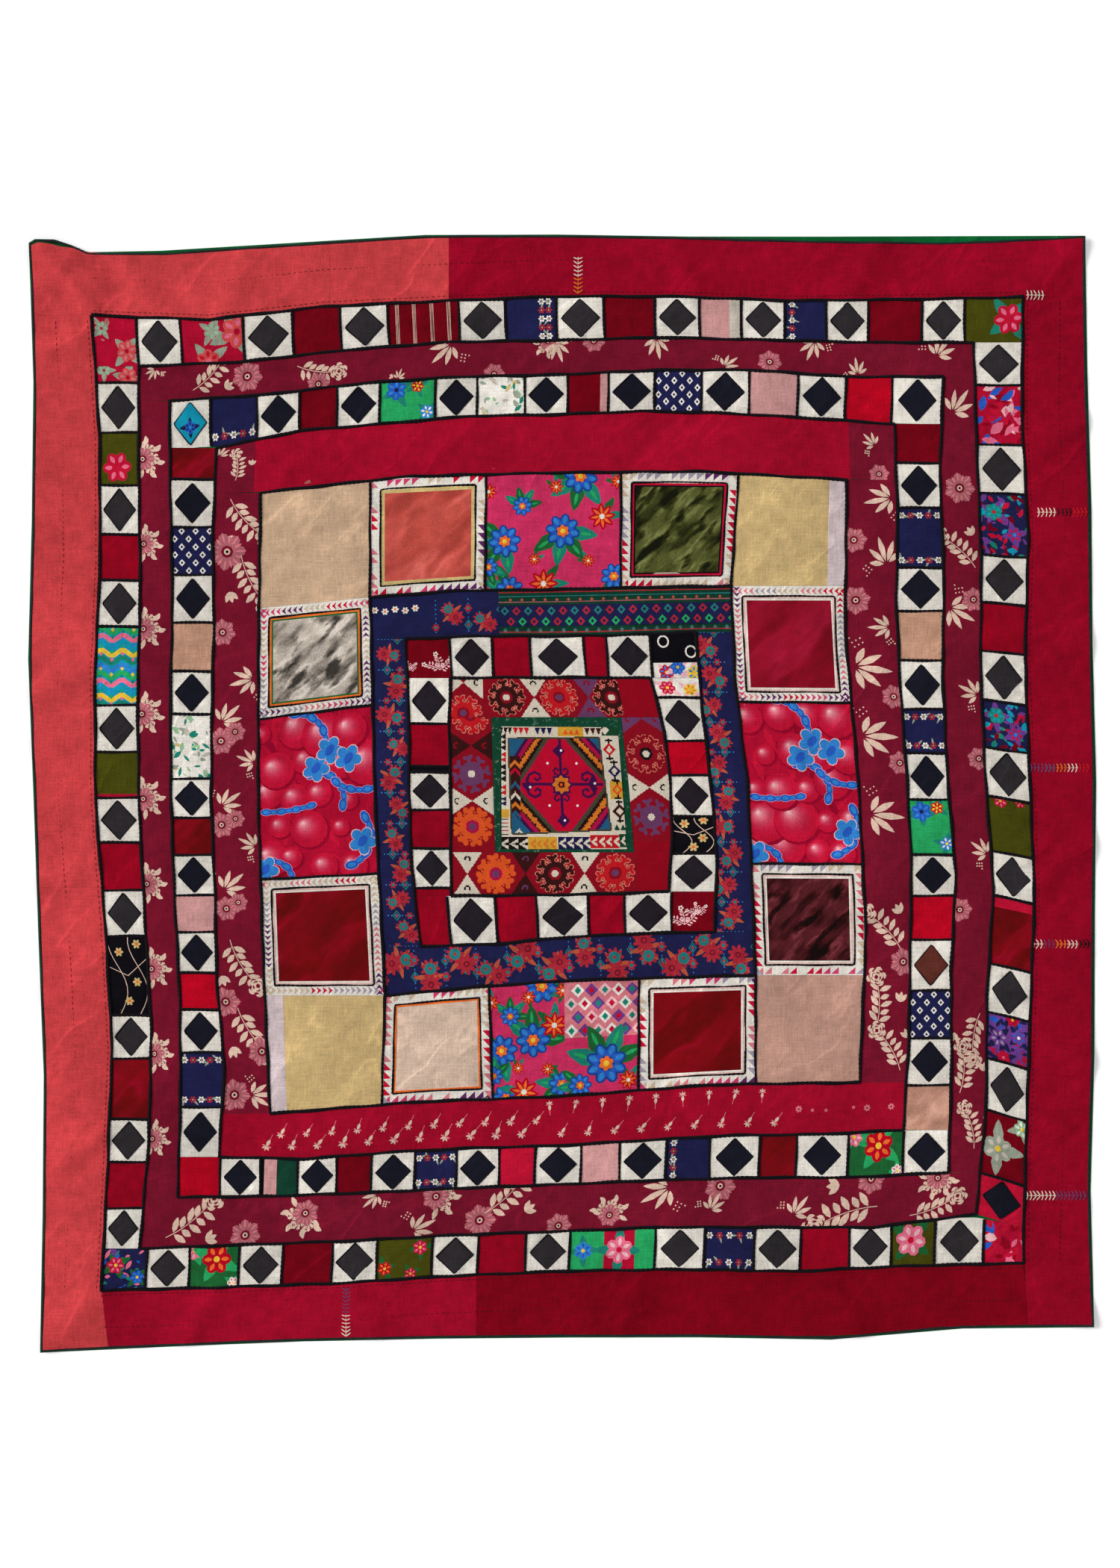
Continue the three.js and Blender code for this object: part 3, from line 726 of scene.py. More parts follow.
def fold_height(plan, folds=FOLDS + CREASES):
    """Height of the main folds and the creases over each point, in metres."""
    lift = np.zeros(len(plan))
    for x1, y1, x2, y2, height, width in folds:
        start = np.array([x1, y1]) * MM
        along = np.array([x2, y2]) * MM - start
        away = plan - start
        place = np.clip(away @ along / (along @ along), 0, 1)
        gap2 = ((away - place[:, None] * along) ** 2).sum(axis=1)
        lift += height * MM * np.exp(-gap2 / (width * MM) ** 2)
    return lift


def ripple_height(plan):
    """Soft unevenness of the whole top: long swells, and short diagonal pulls."""
    amount = settings("cloth").ripple
    found = np.empty(len(plan))
    for i, (x, y) in enumerate(plan.tolist()):
        swell = noise.noise(Vector((x * 7.0, y * 7.0, 3.1)))
        pull = noise.noise(Vector(((x + y) * 9.0, (x - y) * 26.0, 8.4)))
        found[i] = 0.75 * swell + 0.45 * pull
    return found * amount


def surface(plan):
    """Height of the pieced top at each point, before a patch's own puff."""
    lowest = LOWEST_UNDERSIDE + CLOTH_THICKNESS
    return np.maximum(TOP_CLOTH + fold_height(plan) + ripple_height(plan), lowest)


# Shapes in a panel's rectangle: each is a list of points and an ink

def turned(points, x, y, angle=0.0, scale=1.0):
    """Points turned about the origin, sized and moved to x, y."""
    c, s = math.cos(angle), math.sin(angle)
    return [(x + scale * (c * u - s * v), y + scale * (s * u + c * v)) for u, v in points]


def spot(x, y, reach, angle, aside=0.0):
    """The point that lies a reach ahead of x, y and a little to its left."""
    return turned([(reach, aside)], x, y, angle)[0]


def oval(x, y, rx, ry, ink, angle=0.0, sides=10):
    ring = [(rx * math.cos(t), ry * math.sin(t)) for t in np.linspace(0, 2 * math.pi, sides, False)]
    return [(turned(ring, x, y, angle), ink)]


def disc(x, y, radius, ink, sides=8):
    return oval(x, y, radius, radius, ink, 0, sides)


def leaf(x, y, length, width, angle, ink):
    """A pointed leaf that grows from x, y."""
    half = width / 2
    outline = [(0, 0), (0.25, 0.75), (0.55, 1.0), (0.85, 0.5), (1.0, 0),
               (0.85, -0.5), (0.55, -1.0), (0.25, -0.75)]
    return [(turned([(u * length, v * half) for u, v in outline], x, y, angle), ink)]


def blossom(x, y, radius, petals, ink, heart_ink, heart=0.3, turn=0.0, gap=0.86):
    """Round petals about a heart."""
    shapes = []
    step = 2 * math.pi / petals
    for k in range(petals):
        angle = turn + k * step
        reach = radius * 0.58
        shapes += oval(
            x + reach * math.cos(angle), y + reach * math.sin(angle),
            radius * 0.44, reach * math.sin(step / 2) * gap * 1.15, ink, angle, 9,
        )
    return shapes + disc(x, y, radius * heart, heart_ink)


def stroke(points, width, ink):
    """A line of even width through the points, as one four-cornered piece to a step."""
    path = np.asarray(points, float)
    ahead = np.gradient(path, axis=0)
    ahead /= np.linalg.norm(ahead, axis=1)[:, None] + 1e-9
    side = np.stack([-ahead[:, 1], ahead[:, 0]], axis=1) * width / 2
    left, right = path + side, path - side
    return [([tuple(p) for p in (right[k], right[k + 1], left[k + 1], left[k])], ink)
            for k in range(len(path) - 1)]


def arc(x, y, radius, start, end, steps=7):
    return [(x + radius * math.cos(t), y + radius * math.sin(t))
            for t in np.linspace(start, end, steps)]


def lozenge(x, y, rx, ry, ink, angle=0.0):
    return [(turned([(rx, 0), (0, ry), (-rx, 0), (0, -ry)], x, y, angle), ink)]


def box(x1, y1, x2, y2, ink):
    return [([(x1, y1), (x2, y1), (x2, y2), (x1, y2)], ink)]


def branch(x, y, size, angle, pairs, ink):
    """A thin bent stem with small leaves in pairs, and where its tip lies."""
    stem = [(k / 6 * size, 0.3 * size * (k / 6) ** 2) for k in range(7)]
    shapes = stroke(turned(stem, x, y, angle), 1.6, ink)
    for k in range(pairs):
        part = 0.15 + 0.75 * k / pairs
        foot = spot(x, y, part * size, angle, 0.3 * size * part ** 2)
        for side in (-1, 1):
            start = spot(*foot, 0, angle, side * 2.0)
            shapes += leaf(*start, size * (0.27, 0.21)[k % 2], size * 0.115, angle + side * 0.95, ink)
    return shapes, turned(stem[-1:], x, y, angle)[0]


def rose_head(x, y, radius, ink, gap_ink, turn=0.0):
    """A rose drawn in lines: scalloped rings of one ink parted by the ground."""
    shapes = []
    for scale, paint, petals in ((1.0, ink, 6), (0.8, gap_ink, 6), (0.72, ink, 5), (0.5, gap_ink, 5),
                                 (0.42, ink, 4), (0.2, gap_ink, 4)):
        shapes += blossom(x, y, radius * scale, petals, paint, paint, 0.6, turn + scale * 2, 1.15)
    return shapes


def rose_spray(x, y, size, angle, ink="cream"):
    """A leafy branch with an open rose and a bud."""
    shapes, tip = branch(x, y, size * 0.78, angle, 5, ink)
    bud = spot(x, y, size * 0.5, angle, -size * 0.27)
    for k in (-0.5, 0.1, 0.7):
        shapes += leaf(*bud, size * 0.17, size * 0.08, angle + k, ink)
    return shapes + rose_head(*tip, size * 0.17, ink, "burgundy", angle)


def anemone(x, y, size, angle, ink="dusk"):
    """A soft flower: dusky petals with paler tips about a dark heart."""
    shapes = blossom(x, y, size * 0.44, 7, ink, ink, 0.4, angle, 1.1)
    for k in range(14):
        lean = angle + k * 0.449
        shapes += leaf(*spot(x, y, size * 0.2, lean), size * (0.27, 0.2)[k % 2], size * 0.055, lean,
                       "print_pink")
    shapes += disc(x, y, size * 0.15, "burgundy") + disc(x, y, size * 0.08, "cream", 7)
    return shapes + disc(x, y, size * 0.04, "ink_black", 6)


def lily(x, y, size, angle, ink="cream"):
    """A fan of long pointed petals, and a few berries."""
    shapes = []
    for lean, length in ((-1.35, 0.36), (-0.8, 0.5), (-0.25, 0.6), (0.3, 0.46), (0.95, 0.32)):
        foot = spot(x, y, size * 0.07, angle + lean)
        shapes += leaf(*foot, size * length, size * 0.13, angle + lean, ink)
    for k in range(7):
        berry = spot(x, y, size * (0.2 + 0.08 * (k % 3)), angle + 0.4, size * (0.3 + 0.09 * (k // 3)))
        shapes += disc(*berry, 1.7, ink, 6)
    return shapes


def crowd(x, y, size, angle, ink="cream"):
    """A soft flower with small leaves and petals crowded round it."""
    shapes = []
    for k in range(9):
        lean = angle - 1.5 + k * 0.39
        foot = spot(x, y, size * (0.22, 0.34)[k % 2], lean)
        shapes += leaf(*foot, size * (0.27, 0.2)[k % 2], size * 0.11, lean + (-0.5, 0.5)[k % 2], ink)
    for k in range(3):
        petal = spot(x, y, size * 0.26, angle - 0.9 + 0.9 * k)
        shapes += rose_head(*petal, size * 0.13, ink, "burgundy", angle + k)
    return shapes + anemone(x, y, size * 0.62, angle)


def twig(x, y, size, angle, ink="cream"):
    """A small plant: a drop, a stalk, three leaves and a pink foot."""
    shapes = leaf(x, y, size * 0.55, size * 0.26, angle, ink)
    stalk = turned([(size * 0.5, 0), (size * 0.75, 0), (size * 0.95, 0)], x, y, angle)
    shapes += stroke(stalk, 1.2, "print_pink")
    for lean in (-2.3, -1.5, 1.5, 2.3, 3.14):
        shapes += leaf(x, y, size * 0.34, size * 0.13, angle + lean, ("print_pink", ink)[abs(lean) > 2])
    return shapes


MOTIFS = {"rose": rose_spray, "bloom": anemone, "lily": lily, "crowd": crowd, "twig": twig}


def row_of(kind, start, end, count, up, size, degrees):
    """Like motifs at even steps along a band, in the form that strewn takes."""
    step = (end - start) / count
    return [f"{kind} {start + (k + 0.5) * step} {up} {size} {degrees}" for k in range(count)]


def strewn(ground, *motifs, along=False):
    """A print of named motifs: kind, share across, share up, size, and turn in degrees."""
    def fill(w, h, rng):
        shapes = []
        for entry in ", ".join(motifs).split(", "):
            kind, across, up, size, degrees = entry.split()
            if along:
                across, up = up, across
            angle = math.radians(float(degrees) + rng.uniform(-12, 12))
            place = float(across) * w, float(up) * h
            shapes += MOTIFS[kind](*place, float(size) * rng.uniform(0.92, 1.08), angle)
        return ground, shapes
    return fill


# What fills a patch: each filler takes the panel's size and gives a ground ink and shapes

def diamond_sizes(w, h):
    return w / 2, h / 2, min(0.41 * w, 0.43 * h + 4), min(0.45 * h, 0.46 * w + 4)


def diamond_of(fill, ground="white"):
    """A dark diamond on white. Its outline is a thread, laid on later."""
    return lambda w, h, rng: (ground, lozenge(*diamond_sizes(w, h), fill))


def plain(ink):
    return lambda w, h, rng: (ink, [])


def striped(w, h, rng):
    """Dark red with four pairs of fine cream lines."""
    shapes = []
    for share in (0.13, 0.37, 0.62, 0.86):
        for offset in (-2.8, 0.0, 2.8):
            x = share * w + offset
            shapes += box(x - 0.7, 0, x + 0.7, h, "cream")
    return "patch_dark", shapes


def bloom(x, y, radius, rng, outer, inner, heart="yellow", leaves="leaf_green"):
    """A painted flower in two tones over broad leaves."""
    turn = rng.uniform(0, 6.28)
    shapes = []
    for k in range(4):
        shapes += leaf(x, y, radius * rng.uniform(1.5, 2.0), radius * 0.75, turn + k * 1.6, leaves)
    shapes += blossom(x, y, radius, 6, outer, outer, 0.6, turn, 1.15)
    for k in range(6):
        lean = turn + k * 1.047
        shapes += leaf(*spot(x, y, radius * 0.3, lean), radius * 0.58, radius * 0.3, lean, inner)
    return shapes + blossom(x, y, radius * 0.36, 5, outer, heart, 0.6, turn + 0.5)


def painted(ground, flowers, leaves="leaf_green"):
    """Named flowers on a ground: share across, share up, radius, outer, inner and heart ink."""
    def fill(w, h, rng):
        shapes = []
        for entry in flowers.split(", "):
            across, up, radius, *inks = entry.split()
            shapes += bloom(float(across) * w, float(up) * h, float(radius), rng, *inks, leaves=leaves)
        return ground, shapes
    return fill


def cloud_print(ground, inks, density=260.0, size=(9, 22)):
    """Loose painterly leaves and petals."""
    def fill(w, h, rng):
        shapes = []
        for _ in range(int(w * h / density)):
            x, y, length = rng.uniform(0, w), rng.uniform(0, h), rng.uniform(*size)
            ink = rng.choice(inks.split())
            shapes += leaf(x, y, length, length * rng.uniform(0.3, 0.6), rng.uniform(0, 6.28), ink)
        return ground, shapes
    return fill


def both(first, second):
    """The second print laid over the first."""
    def fill(w, h, rng):
        ground, shapes = first(w, h, rng)
        return ground, shapes + second(w, h, rng)[1]
    return fill


def navy_row(*places):
    """Navy cotton with small white and red flowers on stalks along the given edges."""
    def fill(w, h, rng):
        shapes = []
        for place in places:
            for k in range(5):
                share = (k + 0.5) / 5
                x, y = {"top": (share * w, h - 15), "bottom": (share * w, 15), "left": (15, share * h),
                        "right": (w - 15, share * h), "far_right": (w - 29, share * h)}[place]
                ink = ("white_ink", "navy_rose")[k % 2]
                shapes += leaf(x, y, 16, 4.0, rng.uniform(0, 6.28), "grey_green")
                shapes += blossom(x, y, 7.0, 6, ink, "navy", 0.42) + disc(x, y, 1.6, "gold", 6)
        return "navy", shapes
    return fill


def navy_lattice(w, h, rng):
    """Small hollow white diamonds in staggered rows on navy."""
    shapes = []
    for row in range(6):
        for column in range(3):
            x, y = (column + 0.25 + 0.5 * (row % 2)) * w / 3, (row + 0.5) * h / 6
            shapes += lozenge(x, y, 6.2, 7.4, "white_ink") + lozenge(x, y, 2.7, 3.4, "navy")
    return "navy", shapes


def ogee_patch(w, h, rng):
    """Bands of pointed arches in green, teal, yellow and pink."""
    shapes = []
    inks = ("sea_green", "yellow", "teal", "pink", "bright_green", "sky")
    pitch = 15.0
    for row in range(int(h / pitch) + 2):
        lift = [row * pitch + 6 * math.sin(x / w * 4 * math.pi) for x in np.linspace(-2, w + 2, 13)]
        shapes += stroke(list(zip(np.linspace(-2, w + 2, 13), lift)), pitch * 0.62, inks[row % 6])
        for k in range(4):
            y = (row + 0.5) * pitch + 6 * math.sin((k + 0.5) * math.pi)
            shapes += lozenge((k + 0.5) * w / 4, y, 4, 4.6, inks[(row + 3) % 6])
    return "teal", shapes


def black_lines(w, h, rng):
    """Black cotton with gold flowers between curved lines."""
    shapes = []
    for bend in (0.25, 0.75):
        path = [(w * (bend + 0.22 * math.sin(t * 5)), h * t) for t in np.linspace(0, 1, 12)]
        shapes += stroke(path, 1.6, "cream")
    shapes += stroke([(0, h * 0.62), (w * 0.5, h * 0.5), (w, h * 0.72)], 1.6, "cream")
    for across, up in ((0.5, 0.18), (0.3, 0.8), (0.75, 0.9), (0.72, 0.42)):
        shapes += blossom(across * w, up * h, 9.5, 6, "gold", "orange", 0.34)
    return "ink_black", shapes


def ring_print(w, h, rng):
    """Black cotton with white rings over a strip of a pale flower print."""
    shapes = box(0, 0, w, h * 0.34, "white_ink")
    for across, up, ink in ((0.3, 0.12, "rose_red"), (0.55, 0.24, "print_blue"), (0.9, 0.1, "yellow")):
        shapes += bloom(across * w, up * h, 15, rng, ink, "sky", leaves="pale_pink")
    shapes += box(0, h * 0.34, w, h, "ink_black")
    for across, up in ((0.28, 0.82), (0.86, 0.58)):
        x, y = across * w, up * h
        shapes += disc(x, y, 12, "white_ink", 12) + disc(x, y, 8.8, "ink_black", 12)
    return "ink_black", shapes


def white_sprig(*places):
    """Dark red cotton with pale leafy twigs and small flowers at the given places."""
    def fill(w, h, rng):
        shapes = []
        for across, up, size in places:
            x, y = across * w, up * h
            for lean in (0.5, 1.5, 2.5):
                stems, tip = branch(x, y, size, lean, 4, "pale_pink")
                shapes += stems + blossom(*tip, size * 0.17, 5, "white_ink", "blob_red", 0.4)
        return "patch_dark", shapes
    return fill


def split_patch(*pieces, upward=True):
    """Plain cloths pieced in one place: each a share and an ink."""
    def fill(w, h, rng):
        shapes, start = [], 0.0
        for share, ink in pieces:
            end = start + share
            shapes += box(0, start * h, w, end * h, ink) if upward else box(start * w, 0, end * w, h, ink)
            start = end
        return pieces[0][1], shapes
    return fill


# A patch whose name isn't here is a plain cloth of that ink
FILLERS = {
    "teal_diamond": both(diamond_of("teal"), painted("", "0.5 0.42 11 print_blue navy teal", "navy")),
    "brown_diamond": diamond_of("brown"),
    "coral_diamond": diamond_of("navy_black", "rose_red"),
    "striped": striped,
    "rose_corner": painted("blob_red", "0.75 0.3 20 coral_rose print_pink blob_red, "
                           "0.2 0.75 13 grey_green pale_green blob_red", "grey_green"),
    "flower_red": painted("blob_red", "0.5 0.72 17 grey_green pale_green grey_green, "
                          "0.9 0.66 32 coral_rose pink blob_red, 0.42 0.04 24 coral_rose rose_red pink",
                          "grey_green"),
    "navy_right": navy_row("right", "far_right"),
    "navy_left": navy_row("left"),
    "navy_both": navy_row("top", "bottom"),
    "navy_bottom": navy_row("bottom"),
    "navy_lattice": navy_lattice,
    "navy_floral": both(cloud_print("navy", "rose_red print_blue violet pink sea_green", 230),
                        painted("", "0.3 0.6 17 rose_red pink, 0.8 0.3 14 print_blue sky")),
    "pink_white": split_patch((0.72, "dusty_pink"), (0.28, "patch_shadow"), upward=False),
    "olive_rose": painted("olive", "0.76 0.52 30 rose_red pink rose_red", "sea_green"),
    "olive_rose_low": painted("olive", "0.45 0.34 31 rose_red pink rose_red", "olive"),
    "olive_split": split_patch((0.08, "blob_red"), (0.92, "olive")),
    "olive_flower": painted("olive", "0.3 0.95 14 rose_red pink, 0.75 0.98 12 bright_red pink", "olive"),
    "olive_flowers": painted("olive", "0.15 0.28 14 bright_red orange, 0.78 0.75 15 rose_red pink, "
                             "0.62 0.12 12 bright_red pink", "leaf_green"),
    "olive_pink_rose": painted("olive", "0.45 0.6 30 pink pale_pink rose_red", "leaf_green"),
    "red_blotch": cloud_print("blob_red", "rose_red pink pale_pink patch_red rose_red print_blue", 200,
                              (16, 36)),
    "multi": both(cloud_print("navy", "rose_red violet sea_green teal patch_dark", 150, (10, 24)),
                  painted("", "0.3 0.7 17 sea_green teal rose_red, 0.72 0.35 16 violet rose_red sky",
                          "violet")),
    "purple_multi": both(cloud_print("violet", "navy print_blue rose_red violet", 170, (10, 24)),
                         painted("", "0.28 0.5 18 violet lilac_grey navy, 0.75 0.6 16 violet print_blue "
                                 "white_ink, 0.4 0.1 15 blob_red rose_red pink, 0.6 0.95 14 blob_red "
                                 "rose_red", "navy")),
    "red_light_top": split_patch((0.84, "velvet_red"), (0.16, "rose_red")),
    "grey_floral": painted("patch_dark", "0.35 0.45 30 grey_green patch_shadow, 0.9 0.85 18 pale_green "
                           "white_ink", "grey_green"),
    "green_flower": painted("leaf_green", "0.1 0.9 18 pink pale_pink, 0.55 0.68 29 bright_red orange yellow, "
                            "0.9 0.1 12 white_ink pink", "bright_green"),
    "green_blue": painted("bright_green", "0.3 0.78 20 print_blue sky navy, 0.68 0.85 13 bright_red yellow, "
                          "0.85 0.2 14 sky white_ink", "sea_green"),
    "green_mix": both(split_patch((0.4, "bright_green"), (0.36, "blob_red"), (0.24, "bright_green"),
                                  upward=False),
                      painted("", "0.16 0.5 18 sky print_blue, 0.58 0.5 27 pink pale_pink rose_red",
                              "sea_green")),
    "pale_print": cloud_print("white_ink", "pale_green grey_green gold sea_green patch_shadow", 220),
    "pink_strip": split_patch((0.8, "dark_red_cloth"), (0.2, "dusty_pink"), upward=False),
    "beige_green": split_patch((0.1, "ink_black"), (0.34, "dusty_pink"), (0.56, "sea_dark"), upward=False),
    "ogee": ogee_patch,
    "black_gold": black_lines,
    "ring_print": ring_print,
    "white_sprig": white_sprig((0.75, 0.2, 32), (0.06, 0.2, 18)),
    "white_sprig_corner": white_sprig((0.3, 0.2, 34), (0.6, 0.45, 22)),
    "pale_floral": painted("white_ink", "0.3 0.5 14 rose_red pink, 0.78 0.4 12 yellow orange", "pale_pink"),
}

# For each ring, the ink of its diamonds and its patches along each side, from the left or
# from the top: what fills a patch and its length
PATCH_RINGS = {
    "outer_patches": ("charcoal", {
        "top": (
            "rose_corner 88, diamond 88, flower_red 126, diamond 99, patch_dark 96, diamond 96, "
            "striped 142, diamond 94, navy_right 102, diamond 96, patch_dark 102, diamond 90, "
            "pink_white 84, diamond 87, navy_left 84, diamond 84, patch_dark 108, diamond 86, "
            "olive_rose 117"
        ),
        "right": (
            "diamond 86, red_blotch 120, diamond 98, multi 126, diamond 96, patch_red 98, diamond 100, "
            "multi 96, diamond 99, olive_flower 111, diamond 90, red_light_top 138, diamond 98, "
            "purple_multi 94, diamond 104, grey_floral 129, coral_diamond 84"
        ),
        "bottom": (
            "navy_floral 88, diamond 86, green_flower 100, diamond 87, patch_dark 100, diamond 90, "
            "olive_flowers 111, diamond 92, patch_red 96, diamond 88, green_mix 172, diamond 99, "
            "navy_both 100, diamond 93, patch_red 98, diamond 84, olive_pink_rose 88, diamond 98, "
            "red_blotch 80"
        ),
        "left": (
            "rose_corner 33, diamond 100, olive_rose_low 106, diamond 99, patch_red 92, diamond 93, "
            "ogee 158, diamond 94, olive_split 92, diamond 90, patch_red 96, diamond 92, black_gold 159, "
            "diamond 87, velvet_red 122, diamond 86, patch_red 93, diamond 81"
        ),
    }),
    "inner_patches": ("navy_black", {
        "top": (
            "teal_diamond 82, navy_bottom 93, diamond 86, patch_dark 75, diamond 86, green_blue 112, "
            "diamond 84, pale_print 96, diamond 86, pink_strip 82, diamond 93, navy_lattice 94, "
            "diamond 96, dusty_pink 98, diamond 96, bright_red 93, diamond 102"
        ),
        "right": (
            "patch_dark 78, diamond 90, navy_both 120, diamond 87, tan 99, diamond 98, navy_both 88, "
            "diamond 93, green_blue 111, diamond 82, bright_red 88, brown_diamond 102, "
            "navy_lattice 96, diamond 94, velvet_tan 90"
        ),
        "bottom": (
            "bright_red 84, diamond 81, beige_green 75, diamond 78, patch_dark 70, diamond 87, "
            "navy_both 84, diamond 86, rose_red 72, diamond 92, dusty_pink 78, diamond 93, navy_left 88, "
            "diamond 100, velvet_red 74, diamond 104, green_flower 111, diamond 92"
        ),
        "left": (
            "velvet_red 63, diamond 96, navy_lattice 96, diamond 96, tan 98, diamond 86, "
            "pale_print 130, diamond 78, velvet_red 75, diamond 81, dusty_pink 74, diamond 82, "
            "bright_red 74, diamond 86, navy_both 110, diamond 100"
        ),
    }),
    "small_patches": ("grey_brown", {
        "top": (
            "white_sprig 88, diamond 84, patch_red 76, diamond 108, patch_red 45, diamond 88, "
            "ring_print 93"
        ),
        "right": (
            "pale_floral 39, diamond 87, bright_red 69, diamond 82, black_gold 75, diamond 76"
        ),
        "bottom": (
            "patch_red 62, diamond 94, patch_red 81, diamond 102, "
            "patch_red 72, diamond 93, white_sprig_corner 87"
        ),
        "left": (
            "diamond 92, patch_red 86, ink_black 12, diamond 76, patch_red 78, diamond 80, patch_red 16"
        ),
    }),
}


# Making cloth

def anticlockwise(outline):
    twice = sum(a[0] * b[1] - b[0] * a[1] for a, b in zip(outline, outline[1:] + outline[:1]))
    return outline if twice > 0 else outline[::-1]


def renumbered(used, count):
    """New numbers for those of a count of things that are used."""
    numbers = np.full(count, -1)
    numbers[used] = np.arange(len(used))
    return numbers


def one_dye(colour, faces):
    """Corner colours of faces that all have one dye."""
    return np.tile(np.asarray(colour, float), (len(faces), 3, 1))


def panel_mesh(panel, ground, shapes, rng):
    """Points, triangles, inks and corner colours of one panel's upper side."""
    w, h = panel.width, panel.height
    cloth = settings("cloth")
    step = cloth.step / MM
    columns, rows = max(1, round(w / step)), max(1, round(h / step))
    x, y = np.meshgrid(np.linspace(0, w, columns + 1), np.linspace(0, h, rows + 1))
    grid = np.stack([x.ravel(), y.ravel()], axis=1)
    if shapes:
        wander = step * 0.28
        inside = (grid[:, 0] > 0) & (grid[:, 0] < w) & (grid[:, 1] > 0) & (grid[:, 1] < h)
        shake = np.array([(rng.uniform(-wander, wander), rng.uniform(-wander, wander)) for _ in grid])
        grid = grid + shake * inside[:, None]
        points, faces = [Vector(p) for p in grid.tolist()], []
        faces.append([0, columns, len(grid) - 1, len(grid) - 1 - columns])
        for outline, _ in shapes:
            faces.append(list(range(len(points), len(points) + len(outline))))
            points += [Vector(p) for p in anticlockwise(outline)]
        found = delaunay_2d_cdt(points, [], faces, 1, 0.01, True)
        plan = np.array([tuple(p) for p in found[0]])
        kept = [(tri, max(source)) for tri, source in zip(found[2], found[5]) if 0 in source]
        triangles = np.array([tri for tri, _ in kept])
        names = [ground] + [ink for _, ink in shapes]
        inks = [names[source] for _, source in kept]
    else:
        plan = grid
        lower = np.arange(rows)[:, None] * (columns + 1) + np.arange(columns)[None, :]
        a, b = lower.ravel(), lower.ravel() + 1
        c, d = b + columns + 1, a + columns + 1
        even = ((lower // (columns + 1) + lower) % 2 == 0).ravel()
        first = np.where(even[:, None], np.stack([a, b, c], 1), np.stack([a, b, d], 1))
        second = np.where(even[:, None], np.stack([a, c, d], 1), np.stack([b, c, d], 1))
        triangles = np.concatenate([first, second])
        inks = [ground] * len(triangles)
    used = np.unique(triangles)
    triangles = renumbered(used, len(plan))[triangles]
    plan = plan[used].clip((0, 0), (w, h))
    laid = panel.plan(plan)
    share = plan / (w, h)
    swell = np.prod(1 - np.abs(2 * share - 1) ** 3, axis=1)
    edge = np.minimum(np.minimum(plan[:, 0], w - plan[:, 0]), np.minimum(plan[:, 1], h - plan[:, 1]))
    gather = np.sin(plan[:, 0] * 0.42 + 2 * np.sin(plan[:, 1] * 0.05)) + np.sin(plan[:, 1] * 0.39)
    height = surface(laid) + cloth.puff * swell
    height += cloth.pucker * gather * np.exp(-edge / 16.0) * np.minimum(edge / 4.0, 1.0)
    colours = {name: ink_colour(name) for name in set(inks)}
    fade = 1 + rng.uniform(-0.05, 0.05)
    corner = np.array([colours[name] for name in inks])[:, None, :].repeat(3, axis=1) * fade
    finish = np.array([FINISHES.index(ink_finish(name)) for name in inks])
    return np.column_stack([laid, height]), triangles, finish, corner, plan


def closed_sheet(points, triangles, finish, corner, thickness):
    """Adds the underside and the rim to an upper side."""
    count = len(points)
    under = points - (0, 0, thickness)
    start = triangles.ravel()
    end = np.roll(triangles, -1, axis=1).ravel()
    key, back = start * count + end, end * count + start
    rim = ~np.isin(key, back)
    owner = np.repeat(np.arange(len(triangles)), 3)[rim]
    a, b = start[rim], end[rim]
    walls = np.concatenate([np.stack([a, a + count, b + count], 1), np.stack([a, b + count, b], 1)])
    walls_owner = np.concatenate([owner, owner])
    faces = np.concatenate([triangles, triangles[:, ::-1] + count, walls])
    wall_colour = corner[walls_owner].mean(axis=1, keepdims=True).repeat(3, axis=1)
    colours = np.concatenate([corner, corner[:, ::-1], wall_colour])
    finish = np.concatenate([finish, finish, finish[walls_owner]])
    return np.concatenate([points, under]), faces, finish, colours


def with_back(points, faces, finish, corner, under, extra):
    """Adds the points and faces of a back, in the mean dye of the cloth's face."""
    return (np.concatenate([points, under]), np.concatenate([faces, extra]),
            np.concatenate([finish, np.full(len(extra), finish[0])]),
            np.concatenate([corner, one_dye(corner.mean(axis=(0, 1)), extra)]))


# An underside has a point in each cell of this size, a little lower than the face dips there,
# and none is lower than the last of these
BACK_CELL = 32.0
BACK_SLACK = 0.3 * MM
BACK_LOWEST = 0.1 * MM


